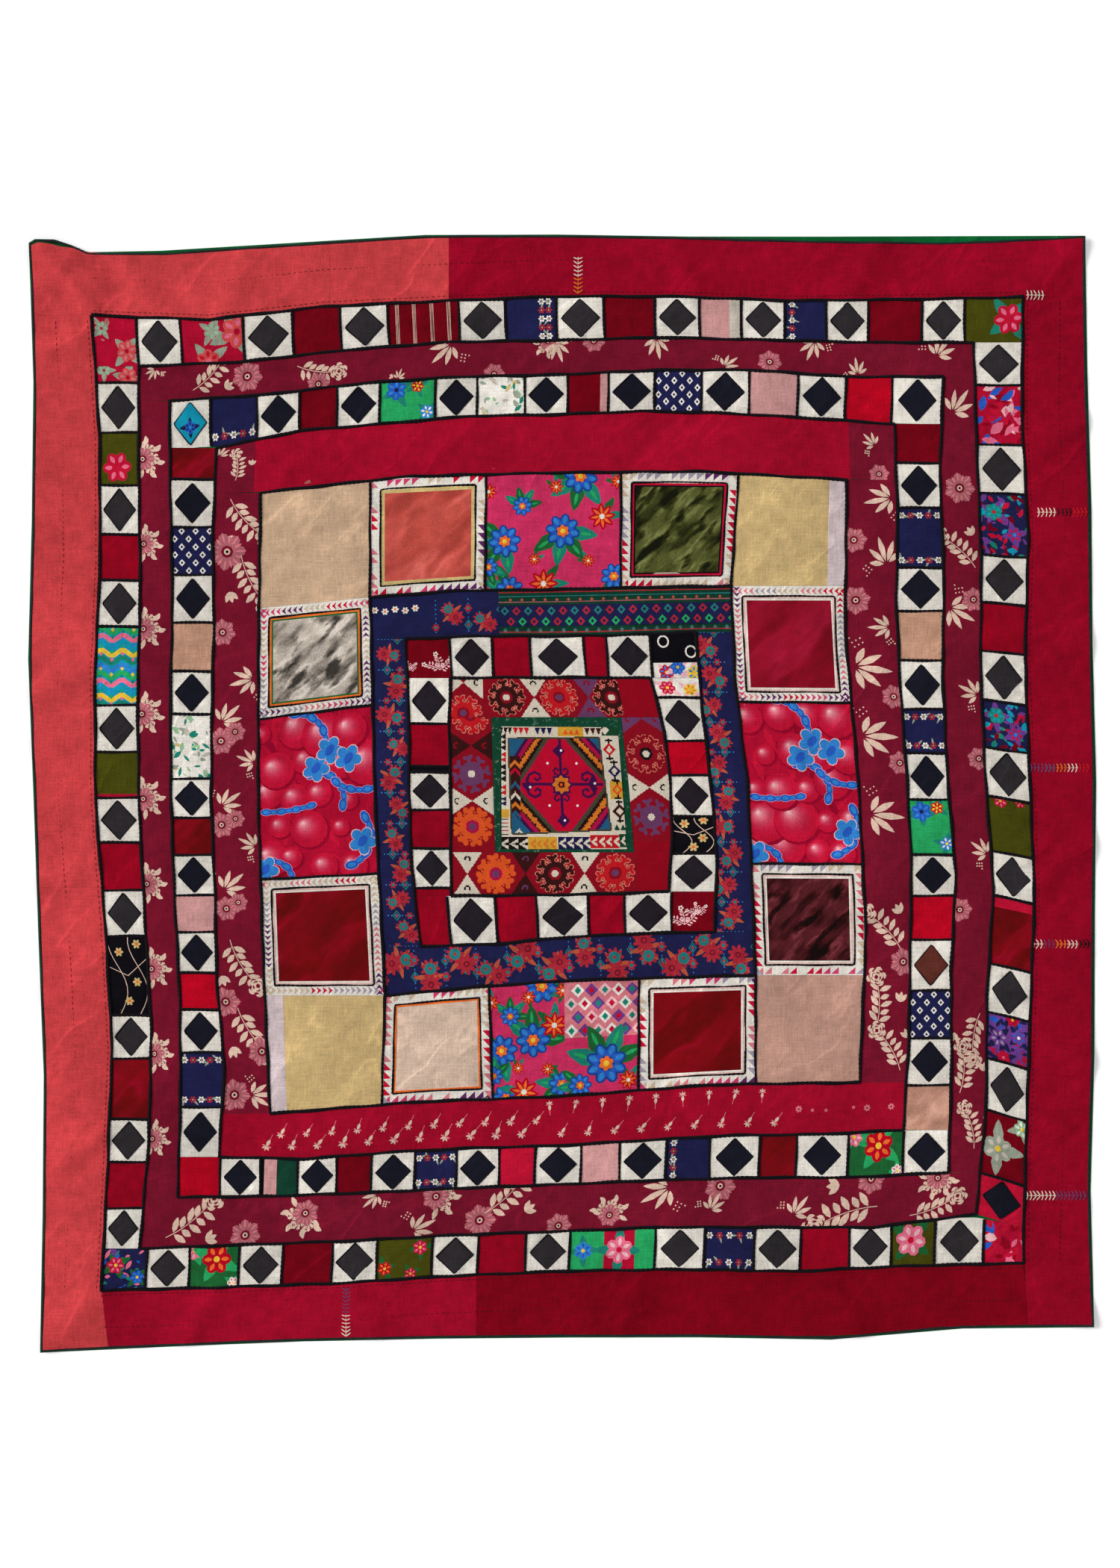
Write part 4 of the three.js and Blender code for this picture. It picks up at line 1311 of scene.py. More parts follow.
def backed_sheet(points, triangles, finish, corner, plan, thickness):
    """Adds a rim and a plainer underside to an upper side, which may carry a fine print."""
    count = len(points)
    start, end = triangles.ravel(), np.roll(triangles, -1, axis=1).ravel()
    rim = ~np.isin(start * count + end, end * count + start)
    onward = dict(zip(start[rim].tolist(), end[rim].tolist()))
    loop = [int(start[rim][0])]
    while onward[loop[-1]] != loop[0]:
        loop.append(onward[loop[-1]])
    cells = np.floor(plan / BACK_CELL).astype(int)
    _, first, cell = np.unique(cells, axis=0, return_index=True, return_inverse=True)
    lowest = np.full(len(first), np.inf)
    np.minimum.at(lowest, cell.ravel(), points[:, 2])
    inner = ~np.isin(first, loop)
    dips = np.column_stack([points[first, :2], lowest - BACK_SLACK])[inner]
    below = np.concatenate([points[loop], dips])
    flat = np.concatenate([plan[loop], plan[first[inner]]]).round(2)
    border = [list(range(len(loop)))]
    found = delaunay_2d_cdt([Vector(p) for p in flat.tolist()], [], border, 1, 0.0001, True)
    under = below[[source[0] for source in found[3]]] - (0, 0, thickness)
    under[:, 2] = np.maximum(under[:, 2], BACK_LOWEST)
    slot = np.zeros(len(below), int)
    for place, sources in enumerate(found[3]):
        slot[sources] = count + place
    here, after = np.array(loop), np.roll(loop, -1)
    foot, next_foot = slot[:len(loop)], np.roll(slot[:len(loop)], -1)
    walls = np.concatenate([np.stack([here, foot, next_foot], 1), np.stack([here, next_foot, after], 1)])
    walls = walls[walls[:, 1] != walls[:, 2]]
    extra = np.concatenate([np.array(found[2])[:, ::-1] + count, walls])
    return with_back(points, triangles, finish, corner, under, extra)


def join_parts(parts):
    """Several meshes' arrays as one."""
    offset, joined = 0, []
    for points, faces, finish, colours in parts:
        joined.append((points, faces + offset, finish, colours))
        offset += len(points)
    return tuple(np.concatenate(arrays) for arrays in zip(*joined))


def make_object(name, points, faces, finish, colours, finishes=FINISHES, sharp=0.9):
    """A mesh object with a material for each finish that it uses, and its dyes."""
    mesh = bpy.data.meshes.new(name)
    mesh.from_pydata(points.tolist(), [], faces.tolist())
    used = sorted(set(finish.tolist()))
    for index in used:
        mesh.materials.append(material_of(finishes[index]))
    places = renumbered(used, len(finishes))[finish]
    mesh.polygons.foreach_set("material_index", places.astype(np.int32))
    mesh.polygons.foreach_set("use_smooth", np.ones(len(faces), bool))
    layer = mesh.color_attributes.new("dye", "FLOAT_COLOR", "CORNER")
    flat = np.concatenate([colours, np.ones((*colours.shape[:2], 1))], axis=2)
    layer.data.foreach_set("color", flat.astype(np.float32).ravel())
    mesh.set_sharp_from_angle(angle=sharp)
    mesh.update()
    piece = bpy.data.objects.new(name, mesh)
    bpy.context.scene.collection.objects.link(piece)
    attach(piece, BODY)
    return piece


def stand_for(node):
    """Hides the solid of the frame that a cloth stands for."""
    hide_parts(node)


def make_cloth(node, parts):
    """Joins upper sides into one closed cloth that stands for a solid of the frame."""
    closed = join_parts([backed_sheet(*part, CLOTH_THICKNESS) for part in parts])
    piece = make_object(f"{node}_cloth", *closed)
    stand_for(node)


def seed_of(name):
    """A number that is the same for a name on every run."""
    return sum((place + 1) * ord(letter) for place, letter in enumerate(name))


def band_of(node):
    return Band(node, "_left" in node or "_right" in node)


def patch_cuts(text, upright):
    """Start and end shares of each patch, read upward for an upright band."""
    entries = [entry.rsplit(" ", 1) for entry in text.split(", ")]
    total = sum(int(length) for _, length in entries)
    cuts, done = [], 0
    for kind, length in entries:
        start, end = done / total, (done + int(length)) / total
        cuts.append((kind, 1 - end, 1 - start) if upright else (kind, start, end))
        done += int(length)
    return cuts


# How far a patch's end stays from its seam, in millimetres
SEAM_INSET = 0.15


def patch_panels(node, table):
    """Each patch of a band with its panel, parted a little from its neighbours."""
    band = band_of(node)
    inset = SEAM_INSET * MM / band.length
    return [(kind, band.part(start + inset, end - inset)) for kind, start, end in
            patch_cuts(table, band.upright)]


def build_patch_band(node, table, diamond_ink):
    rng = random.Random(seed_of(node))
    parts = []
    for kind, panel in patch_panels(node, table):
        fill = diamond_of(diamond_ink) if kind == "diamond" else FILLERS.get(kind) or plain(kind)
        ground, shapes = fill(panel.width, panel.height, rng)
        parts.append(panel_mesh(panel, ground, shapes, rng))
    make_cloth(node, parts)


# Prints of the long bands and of the blocks

def along_band(w, h):
    """Length and width of a panel, and a function that turns along and across to x, y."""
    if h > w:
        return h, w, lambda along, across: (across, along)
    return w, h, lambda along, across: (along, across)


def crimson_top(w, h, rng):
    """Plain crimson between a short and a shorter length of burgundy print."""
    sprays = strewn("", "rose 0.03 0.25 84 75, lily 0.005 0.8 40 70",
                    "bloom 0.975 0.1 46 0, lily 0.97 0.6 50 150")
    ends = box(0, 0, 0.058 * w, h, "burgundy") + box(0.932 * w, 0, w, h, "burgundy")
    return "crimson", ends + sprays(w, h, rng)[1]


def red_bottom(w, h, rng):
    """Red cotton with rows of small plants, then a few dotted flowers."""
    rows = ((0.05, 0.46, 11, 0.26, 30, 62), (0.07, 0.48, 11, 0.52, 26, 62), (0.46, 0.81, 9, 0.84, 24, 265),
            (0.48, 0.83, 9, 0.24, 26, 60))
    _, shapes = strewn("", *(plant for row in rows for plant in row_of("twig", *row)))(w, h, rng)
    for across in (0.845, 0.865, 0.885, 0.925, 0.945, 0.98):
        shapes += blossom(across * w, h * rng.uniform(0.42, 0.58), rng.choice((3.5, 7.0, 8.0)), 7,
                          "print_pink", "crimson", 0.3)
    return "crimson", shapes


FRAME_STRIP = 20.5
FRAME_INKS = ("frame_pink", "frame_tan", "frame_plum", "rose_red", "lilac_grey", "frame_tan", "print_pink")


def side_places(w, h):
    """For each side of a rectangle, its length and a function from along, depth to x, y."""
    return (
        (w, lambda along, depth: (along, depth)),
        (h, lambda along, depth: (w - depth, along)),
        (w, lambda along, depth: (w - along, h - depth)),
        (h, lambda along, depth: (depth, h - along)),
    )


def framed(inside, piping=("piping", "white"), arrows=False):
    """A square in a pieced white frame, with rows of small points and piped inner edges."""
    def fill(w, h, rng):
        shapes, strip = [], FRAME_STRIP
        for length, place in side_places(w, h):
            pitch = 11.0 if arrows else 16.0
            count = int(length / pitch)
            pitch = length / count
            ink = "white"
            for k in range(count):
                if k % 4 == 0:
                    ink = rng.choice(FRAME_INKS)
                first, last, middle = k * pitch + 0.8, (k + 1) * pitch - 0.8, strip * 0.5
                if arrows:
                    points = [(first, middle - 8), (last, middle), (first, middle + 8), (first + 3, middle)]
                else:
                    points = [(first, strip * 0.12), (last, strip * 0.12), (last, strip * 0.8)]
                    if rng.random() < 0.15:
                        continue
                shapes.append(([place(*p) for p in points], ink))
        inset = strip + 1.0
        for ink, depth in zip((*piping, inside), (4.4, 3.2, 0.0)):
            shapes += box(inset, inset, w - inset, h - inset, ink)
            inset += depth
        return "white", shapes
    return fill


def blue_flower(x, y, size, turn):
    """A blue flower with streaked petals and an orange heart, over broad green leaves."""
    shapes = []
    for k in range(4):
        lean = turn + 0.8 * k
        shapes += leaf(x, y, size * 2.05, size * 0.85, lean, ("leaf_green", "sea_green")[k % 2])
        shapes += leaf(*spot(x, y, size * 0.9, lean), size * 0.8, size * 0.2, lean, "bright_green")
    shapes += blossom(x, y, size, 8, "blue_edge", "blue_edge", 0.5, turn, 1.2)
    shapes += blossom(x, y, size * 0.93, 8, "print_blue", "blue_edge", 0.42, turn, 0.95)
    for k in range(8):
        lean = turn + k * math.pi / 4
        shapes += leaf(*spot(x, y, size * 0.42, lean), size * 0.5, size * 0.26, lean, "sky")
    return shapes + blossom(x, y, size * 0.36, 6, "orange", "yellow", 0.4, turn, 1.1)


def orange_flower(x, y, size, turn):
    """Pointed red petals streaked with orange, over two green leaves."""
    shapes = leaf(x, y, size * 1.8, size * 0.6, turn, "sea_green")
    shapes += leaf(x, y, size * 1.7, size * 0.6, turn + 0.9, "leaf_green")
    for k in range(8):
        lean = turn + k * math.pi / 4
        shapes += leaf(x, y, size * 1.05, size * 0.5, lean, "bright_red")
        shapes += leaf(x, y, size * 0.85, size * 0.22, lean, "orange")
    return shapes + disc(x, y, size * 0.2, "white_ink")


BLUE_FLOWERS = ((0.14, 0.42, 33), (0.57, 0.5, 35), (0.7, 0.97, 35), (0.18, 0.0, 28), (0.95, 0.1, 27),
                (0.27, 0.72, 20), (0.02, 0.2, 20))
ORANGE_FLOWERS = ((0.86, 0.62, 27), (0.43, 0.05, 29), (0.52, 0.88, 15), (0.36, 0.26, 13), (0.76, 0.24, 14),
                  (0.02, 0.85, 17), (0.98, 0.92, 16))


def pink_flowers(w, h, rng, reach=1.0):
    """Pink cotton with large blue flowers, smaller orange ones and green leaves."""
    shapes = []
    for flower, places in ((blue_flower, BLUE_FLOWERS), (orange_flower, ORANGE_FLOWERS)):
        for across, up, size in places:
            shapes += flower(across * reach * w, up * h, size, rng.uniform(0, 6.28))
    return "pink_ground", shapes


def two_prints(w, h, rng):
    """Pink flowers beside a check of pale diamonds with one large blue flower."""
    _, shapes = pink_flowers(w, h, rng, 0.5)
    start, pitch = 0.5 * w, 27.0
    shapes += box(start, 0, w, h, "pink_ground") + box(start, 0.5 * h, w, h, "print_pink")
    for row in range(4):
        for column in range(int(0.5 * w / pitch) + 1):
            x, y = start + (column + 0.5 * (row % 2) + 0.5) * pitch, h * 0.56 + row * pitch
            ink = ("white_ink", "violet", "pale_pink")[(row + column) % 3]
            shapes += lozenge(x, y, pitch * 0.5, pitch * 0.52, ink)
            shapes += lozenge(x, y, pitch * 0.24, pitch * 0.28, ("sea_green", "rose_red")[column % 2])
    shapes += blue_flower(0.6 * w, 0.08 * h, 24, 2.4) + orange_flower(0.93 * w, 0.1 * h, 20, 1.0)
    return "pink_ground", shapes + blue_flower(0.78 * w, 0.26 * h, 42, 0.4)


def blot(x, y, radius):
    """A round blot that pales towards a bright spot off its middle."""
    shapes = oval(x + 3, y - 4, radius * 1.08, radius * 1.04, "blob_dark", 0, 16)
    shapes += disc(x, y, radius, "rose_red", 16)
    for step in range(1, BLOT_STEPS):
        part = 0.92 * (1 - step / BLOT_STEPS) ** 1.1
        slip = 0.36 * radius * (1 - part)
        shapes += oval(x - slip, y + slip, radius * part, radius * part * 0.94, f"blot_{step}", 0, 14)
    return shapes


def blue_chain(x, y, size, turn, bend, count=7):
    """A curved chain of blue drops, edged with pink."""
    shapes, turns = [], [turn + bend * k for k in range(count)]
    for paint, scale in (("pale_pink", 1.02), ("print_blue", 0.95), ("sky", 0.55)):
        px, py = x, y
        for k, angle in enumerate(turns):
            px, py = px + size * 0.42 * math.cos(angle), py + size * 0.42 * math.sin(angle)
            wide = size * scale * (0.34, 0.26)[k % 2]
            shapes += oval(px, py, wide, wide * 0.62, paint, angle, 9)
    return shapes


BLUE_CHAINS = ((0.4, 0.6, 42, 0.6, -0.35), (0.55, 0.72, 44, 1.4, 0.3), (0.0, 0.42, 36, 0.1, 0.05),
               (0.7, 0.05, 44, 0.4, 0.3), (0.02, 0.1, 40, 0.4, -0.4), (0.62, 0.6, 40, -0.6, 0.2))


def blob_print(w, h, rng):
    """Red cotton with soft round blots, and chains and heads of blue petals."""
    shapes = []
    for _ in range(30):
        x, y = rng.uniform(0, w), rng.uniform(0, h)
        shapes += leaf(x, y, rng.uniform(40, 90), rng.uniform(10, 20), rng.uniform(1.4, 2.4),
                       rng.choice(("rose_red", "blob_dark")))
    for row in range(5):
        for column in range(4):
            x = (column + 0.25 + 0.5 * (row % 2)) * w / 4 + rng.uniform(-12, 12)
            y = (row + 0.45) * h / 5 + rng.uniform(-14, 14)
            shapes += blot(x, y, rng.uniform(18, 46))
    lean = rng.uniform(-0.3, 0.3)
    for across, up, size, turn, bend in BLUE_CHAINS:
        shapes += blue_chain(across * w, up * h, size, turn + lean, bend)
    for across, up in ((0.5, 0.66), (0.62, 0.76), (0.78, 0.7), (0.88, 0.2), (0.04, 0.06)):
        x, y = across * w, up * h
        shapes += blossom(x, y, 29, 5, "pale_pink", "print_blue", 0.4, lean, 1.0)
        shapes += blossom(x, y, 27, 5, "sky", "print_blue", 0.3, lean, 1.0)
        shapes += oval(x, y, 13, 8, "print_blue", 0.9, 9)
    return "blob_red", shapes


# What fills the blocks along each side, from the left or from the top
BLOCKS = {
    "top": (plain("beige_silk"), framed("velvet_coral", ("gold", "gold")), pink_flowers,
            framed("velvet_green", ("rose_red", "ink_black")),
            split_patch((0.84, "yellow_silk"), (0.16, "lilac_silk"), upward=False)),
    "right": (framed("satin_crimson", arrows=True), blob_print, framed("velvet_dark")),
    "bottom": (split_patch((0.15, "lilac_silk"), (0.85, "yellow_silk"), upward=False),
               framed("pale_silk", ("orange", "pale_silk")), two_prints, framed("velvet_red"),
               plain("tan_silk")),
    "left": (framed("velvet_grey", ("orange", "leaf_green"), True), blob_print,
             framed("velvet_red", arrows=True)),
}

# Places in their rows of the blocks whose inner edge carries a cord
FRAMED_BLOCKS = {"top": (2, 4), "right": (1, 3), "bottom": (2, 4), "left": (1, 3)}


def posy(x, y, size, rng):
    """A red rose and a teal flower side by side, over orange and teal leaves."""
    turn = rng.uniform(0, 6.28)
    shapes = []
    for k in range(6):
        ink = ("navy_orange", "navy_orange", "navy_teal")[k % 3]
        shapes += leaf(x, y, size * 2.1, size * 0.62, turn + 0.52 + k * 1.05, ink)
    for shift, radius, heart, share in ((0.95, 1.4, "navy_deep", 0.3), (-0.95, 1.2, "navy_teal", 0.62)):
        middle = spot(x, y, size * shift, turn)
        shapes += blossom(*middle, size * radius, 9, "navy_rose", heart, share)
        shapes += disc(*middle, size * 0.2, "navy_rose")
    return shapes


def navy_band(line=0.5, start=0.0, end=1.0, pitch=118.0, reach=0.1, size=13.0):
    """Navy cotton with posies to both sides of a line, and dotted stems and diamonds between."""
    def fill(w, h, rng):
        length, width, place = along_band(w, h)
        shapes = []
        count = max(1, round((end - start) * length / pitch))
        step = (end - start) * length / count
        for k in range(2 * count):
            foot = start * length + (k + 0.5) * step / 2
            across = (line + (reach, -reach)[k % 2]) * width
            for dot in range(9):
                for shift in (-0.25, 0.25):
                    x, y = place(foot + shift * step, (line - 0.4 + 0.1 * dot) * width)
                    shapes += disc(x, y, 1.5, "sky", 5)
            x, y = place(foot + 0.25 * step, (line + (-0.16, 0.16)[k % 2]) * width)
            for ink, scale in (("navy_teal", 1.0), ("navy", 0.72), ("navy_teal", 0.5), ("navy_rose", 0.36)):
                shapes += lozenge(x, y, 8.5 * scale, 11.0 * scale, ink)
            x, y = place(foot - 0.25 * step, (line + (-0.2, 0.2)[k % 2]) * width)
            shapes += blossom(x, y, size * 0.62, 6, "navy_rose", "navy_teal", 0.4)
            shapes += posy(*place(foot, across), size * rng.uniform(0.9, 1.1), rng)
        return "navy", shapes
    return fill


def navy_top(w, h, rng):
    """Small white flowers, posies, then a length of a striped border print."""
    _, shapes = navy_band(0.42, 0.18, 0.36, 110.0)(w, h, rng)
    for k, across in enumerate((0.012, 0.04, 0.068, 0.096, 0.124)):
        y = (0.68, 0.64)[k % 2] * h
        shapes += leaf(across * w, y - 9, 13, 3, 1.4, "navy_teal")
        shapes += blossom(across * w, y, 7.5, 6, "white_ink", "orange", 0.36)
    start = 0.355 * w
    shapes += box(start, 0, w, h, "sea_dark") + box(start, 0.2 * h, w, 0.66 * h, "navy")
    for share, ink in ((0.72, "dusk"), (0.84, "navy_teal"), (0.93, "navy_rose"), (0.07, "navy_rose")):
        shapes += box(start, share * h, w, share * h + 2.2, ink)
    count = 20
    pitch = (w - start) / count
    for k in range(count):
        x = start + (k + 0.5) * pitch
        for dx, share, size, ink, middle in (
                (0, 0.54, 8.6, ("navy_teal", "navy_rose")[k % 2], "navy"),
                (0.5, 0.31, 8.6, ("navy_rose", "bright_green")[k % 2], "navy"),
                (0, 0.12, 4.4, "navy_teal", "navy_rose"), (0.5, 0.78, 3.4, "navy_orange", "dusk")):
            shapes += lozenge(x + dx * pitch, h * share, size, size * 1.08, ink)
            shapes += lozenge(x + dx * pitch, h * share, size * 0.42, size * 0.46, middle)
    return "navy", shapes


# Cross-stitched bands: places are shares of the band's length, from the left or bottom

def rosette(x, y, radius, ink, edge, heart, core):
    """A round flower with eight forked arms, edged with a thin line, about a pale knot."""
    shapes = []
    for paint, fat in ((edge, 1.6), (ink, 0.0)):
        shapes += disc(x, y, radius * 0.62 + fat, paint, 20)
        for k in range(8):
            turn = k * math.pi / 4 + 0.2
            arm = [(radius * 0.3, 0), (radius * 0.6, 0), (radius * 0.9, 0)]
            shapes += stroke(turned(arm, x, y, turn), radius * 0.2 + 2 * fat, paint)
            for side in (-1, 1):
                tip = spot(x, y, radius * 0.86, turn, side * radius * 0.15)
                shapes += oval(*tip, radius * 0.13 + fat, radius * 0.1 + fat, paint, turn + side * 0.8, 9)
                if not fat:
                    notch = spot(x, y, radius * 0.68, turn, side * radius * 0.25)
                    shapes += disc(*notch, radius * 0.05, edge, 6)
    return shapes + disc(x, y, radius * 0.34, heart, 12) + disc(x, y, radius * 0.19, core, 10)


def bow(x, y, rx, ry, ink, mark, upright):
    """Two triangles whose points meet, each with a small crescent."""
    turn = math.pi / 2 if upright else 0.0
    shapes = []
    for end in (-1, 1):
        shapes.append((turned([(0, 0), (rx, end * ry), (-rx, end * ry)], x, y, turn), ink))
        hook = arc(0, end * 0.68 * ry, 5.2, -0.6, 3.6, 8)
        shapes += stroke(turned(hook, x, y, turn), 3.4, mark)
    return shapes


def stitched_band(*motifs):
    """Rosettes and bows along a red band: kind, share, inks; a corner; or a plain stretch."""
    def fill(w, h, rng):
        length, width, place = along_band(w, h)
        shapes = []
        for kind, share, *inks in motifs:
            x, y = place(share * length, 0.5 * width)
            if kind == "bow":
                shapes += bow(x, y, 29, 0.5 * width, *inks, h > w)
            elif kind == "rose":
                shapes += rosette(x, y, 0.46 * width, *inks)
            elif kind == "corner":
                shapes += bow(x, 0.88 * width, 34, 0.5 * width, *WHITE_BOW, True)
                shapes += rosette(x, 0.1 * width, 0.46 * width, *inks)
            else:
                first, last = place(share * length, 0), place(inks[0] * length, width)
                shapes += box(*first, *last, "wool_plain")
        return "wool_red", shapes
    return fill


WHITE_BOW = ("wool_cream", "wool_black")
BROWN_ROSE = ("wool_brown", "thread_pink", "wool_red", "wool_cream")
RED_ROSE = ("wool_bright", "thread_pink", "wool_red", "wool_purple")
ORANGE_ROSE = ("wool_orange", "wool_orange", "wool_magenta", "wool_purple")
PURPLE_ROSE = ("wool_purple", "wool_red", "wool_purple", "wool_cream")
STITCHED_BANDS = {
    "top": stitched_band(
        ("corner", 0.065, *RED_ROSE), ("rose", 0.275, *BROWN_ROSE), ("bow", 0.41, *WHITE_BOW),
        ("rose", 0.53, *RED_ROSE), ("bow", 0.675, "wool_purple", "wool_red"), ("rose", 0.785, *BROWN_ROSE),
        ("plain", 0.83, 1.0)),
    "right": stitched_band(
        ("plain", 0.0, 0.08), ("rose", 0.26, *PURPLE_ROSE), ("bow", 0.48, *WHITE_BOW),
        ("rose", 0.73, "wool_red", "thread_pink", "wool_black", "wool_cream"),
        ("bow", 0.99, "wool_purple", "wool_red")),
    "bottom": stitched_band(
        ("bow", 0.075, *WHITE_BOW), ("rose", 0.205, *ORANGE_ROSE), ("bow", 0.34, "wool_brown", "wool_purple"),
        ("rose", 0.475, *BROWN_ROSE), ("bow", 0.61, *WHITE_BOW), ("rose", 0.75, *RED_ROSE),
        ("plain", 0.85, 1.0)),
    "left": stitched_band(
        ("rose", 0.19, *ORANGE_ROSE), ("bow", 0.38, *WHITE_BOW), ("rose", 0.58, *PURPLE_ROSE),
        ("bow", 0.79, "wool_brown", "wool_red"), ("rose", 1.02, *RED_ROSE)),
}

# The centre is charted in stitches of this size from its middle, right and up
CHART_UNIT = 1.5
FIELD = ((-71.5, 66), (54, 68), (62, -56), (-67.5, -62))
DIAMOND = ((57, 5), (-6, 78), (-58, 1), (1, -68))

# Bands round the diamond, from the outermost: how far each reaches, as a share, and its ink
DIAMOND_BANDS = (
    (1.75, "wool_teal"), (1.62, "wool_plum"), (1.53, "wool_magenta"), (1.41, "wool_brown"),
    (1.2, "wool_black"), (1.14, "wool_moss"), (1.03, "wool_magenta"), (1.0, "wool_crimson"),
)
ZIGZAG_REACH = 1.3


def chart(points):
    return [(x * CHART_UNIT, y * CHART_UNIT) for x, y in points]


def charted(ink, *points):
    return [(chart(points), ink)]


def chart_box(x1, y1, x2, y2, ink):
    return charted(ink, (x1, y1), (x2, y1), (x2, y2), (x1, y2))


def chart_diamond(x, y, wide, tall, ink):
    return charted(ink, (x + wide, y), (x, y + tall), (x - wide, y), (x, y - tall))


def chart_row(x1, y1, x2, y2, count, deep, ink):
    """Triangles in a row from one point to another, pointing to its left side."""
    start, end = np.array([x1, y1], float), np.array([x2, y2], float)
    step = (end - start) / count
    side = np.array([-step[1], step[0]]) / np.linalg.norm(step) * deep
    shapes = []
    for k in range(count):
        foot = start + step * k
        shapes += charted(ink, foot, foot + step, foot + 0.5 * step + side)
    return shapes


def reached(points, reach):
    """Points scaled about the middle of the diamond."""
    middle = np.mean(DIAMOND, axis=0)
    return [tuple(middle + (np.array(p) - middle) * reach) for p in points]


def chevron(x, y, wide, tall, thick, ink):
    """A roof shape whose peak is at x, y."""
    foot = y - tall
    return charted(ink, (x - wide, foot), (x, y), (x + wide, foot), (x + wide, foot - thick), (x, y - thick),
                   (x - wide, foot - thick))


def centre_field():
    """The diamond, the bands and stepped zigzag round it, and the roofs at its left."""
    shapes = [(chart(reached(DIAMOND, reach)), ink) for reach, ink in DIAMOND_BANDS]
    corners = reached(DIAMOND, ZIGZAG_REACH)
    steps = []
    for start, end in zip(corners, corners[1:] + corners[:1]):
        for k in range(27):
            x, y = np.array(start) + (np.array(end) - start) * k / 27
            steps += chart_box(x - 3.5, y - 1.6 - k % 2, x + 3.5, y + 1.6 + k % 2, "wool_amber")
    shapes = shapes[:4] + steps + shapes[4:]
    shapes += chart_box(-75, -33, -55.5, 42, "wool_brown")
    for y, ink in ((38, "wool_amber"), (28, "wool_crimson"), (9, "wool_teal"), (-5, "wool_cream"),
                   (-11, "wool_black"), (-18, "wool_amber"), (-24, "wool_brown"), (-30, "wool_teal")):
        shapes += chevron(-62.5, y, 7, 8, 5, ink)
    return shapes + chevron(-58, -54, 5, 6, 4, "wool_cream")


def ram_horns():
    """Curled horns on the arms of a cross, with a stepped flower at the middle."""
    cx, cy = -0.5, 4.5
    ink = "wool_plum"
    shapes = chart_box(cx - 1.7, cy - 50, cx + 1.7, cy + 62, ink)
    shapes += chart_box(cx - 53, cy - 1.9, cx + 56, cy + 1.9, ink)
    for x, y, wide, tall in ((-2, 45, 8.5, 9), (1, -48, 8.5, 10), (-45, -2, 7, 8), (42, 1, 6.5, 12)):
        shapes += chart_diamond(cx + x, cy + y, wide, tall, ink)
    horn = ((47, 4), (43, 13), (35.5, 17), (29, 13.5), (28, 8), (33, 5.5), (36, 9))
    curl = ((2, 12), (8, 14), (10, 19), (6.5, 22), (3, 19))
    for sx in (-1, 1):
        for sy in (-1, 1):
            for line, width in ((horn, 3.8), (curl, 2.8)):
                path = chart([(cx + sx * x, cy + sy * y) for x, y in line])
                shapes += stroke(path, width * CHART_UNIT, ink)
    for radius, ink in ((16.5, "wool_plum"), (12.8, "wool_amber"), (5.5, "wool_brown"), (2.6, "wool_orange")):
        star = [(radius * (1.0, 0.72)[k % 2] * math.cos(k * math.pi / 8),
                 radius * (1.0, 0.72)[k % 2] * math.sin(k * math.pi / 8)) for k in range(16)]
        shapes += charted(ink, *((cx + x, cy + y) for x, y in star))
    return shapes


def fish_bones(x1, x2, y, ground, count, ink="wool_cream"):
    """A box with a row of triangles that point to the left."""
    shapes = chart_box(x1, y - 9, x2, y + 9, ground)
    pitch = (x2 - x1) / count
    for k in range(count):
        x = x1 + k * pitch + 1
        shapes += charted(ink, (x, y), (x + pitch - 1, y + 7.5), (x + pitch - 1, y - 7.5))
        shapes += charted(ground, (x + 4, y), (x + pitch, y + 3), (x + pitch, y - 3))
    return shapes


def eye(x, y, wide, tall, ink, middle="wool_cream"):
    """A diamond with a pale middle, and a small cross above and below."""
    shapes = chart_box(x - 1.3, y - tall - 5, x + 1.3, y + tall + 5, "wool_black")
    for dy in (-tall - 3, tall + 3):
        shapes += chart_box(x - 4.5, y + dy - 1.3, x + 4.5, y + dy + 1.3, "wool_black")
    return shapes + chart_diamond(x, y, wide, tall, ink) + chart_diamond(x, y, wide / 2, tall / 2, middle)


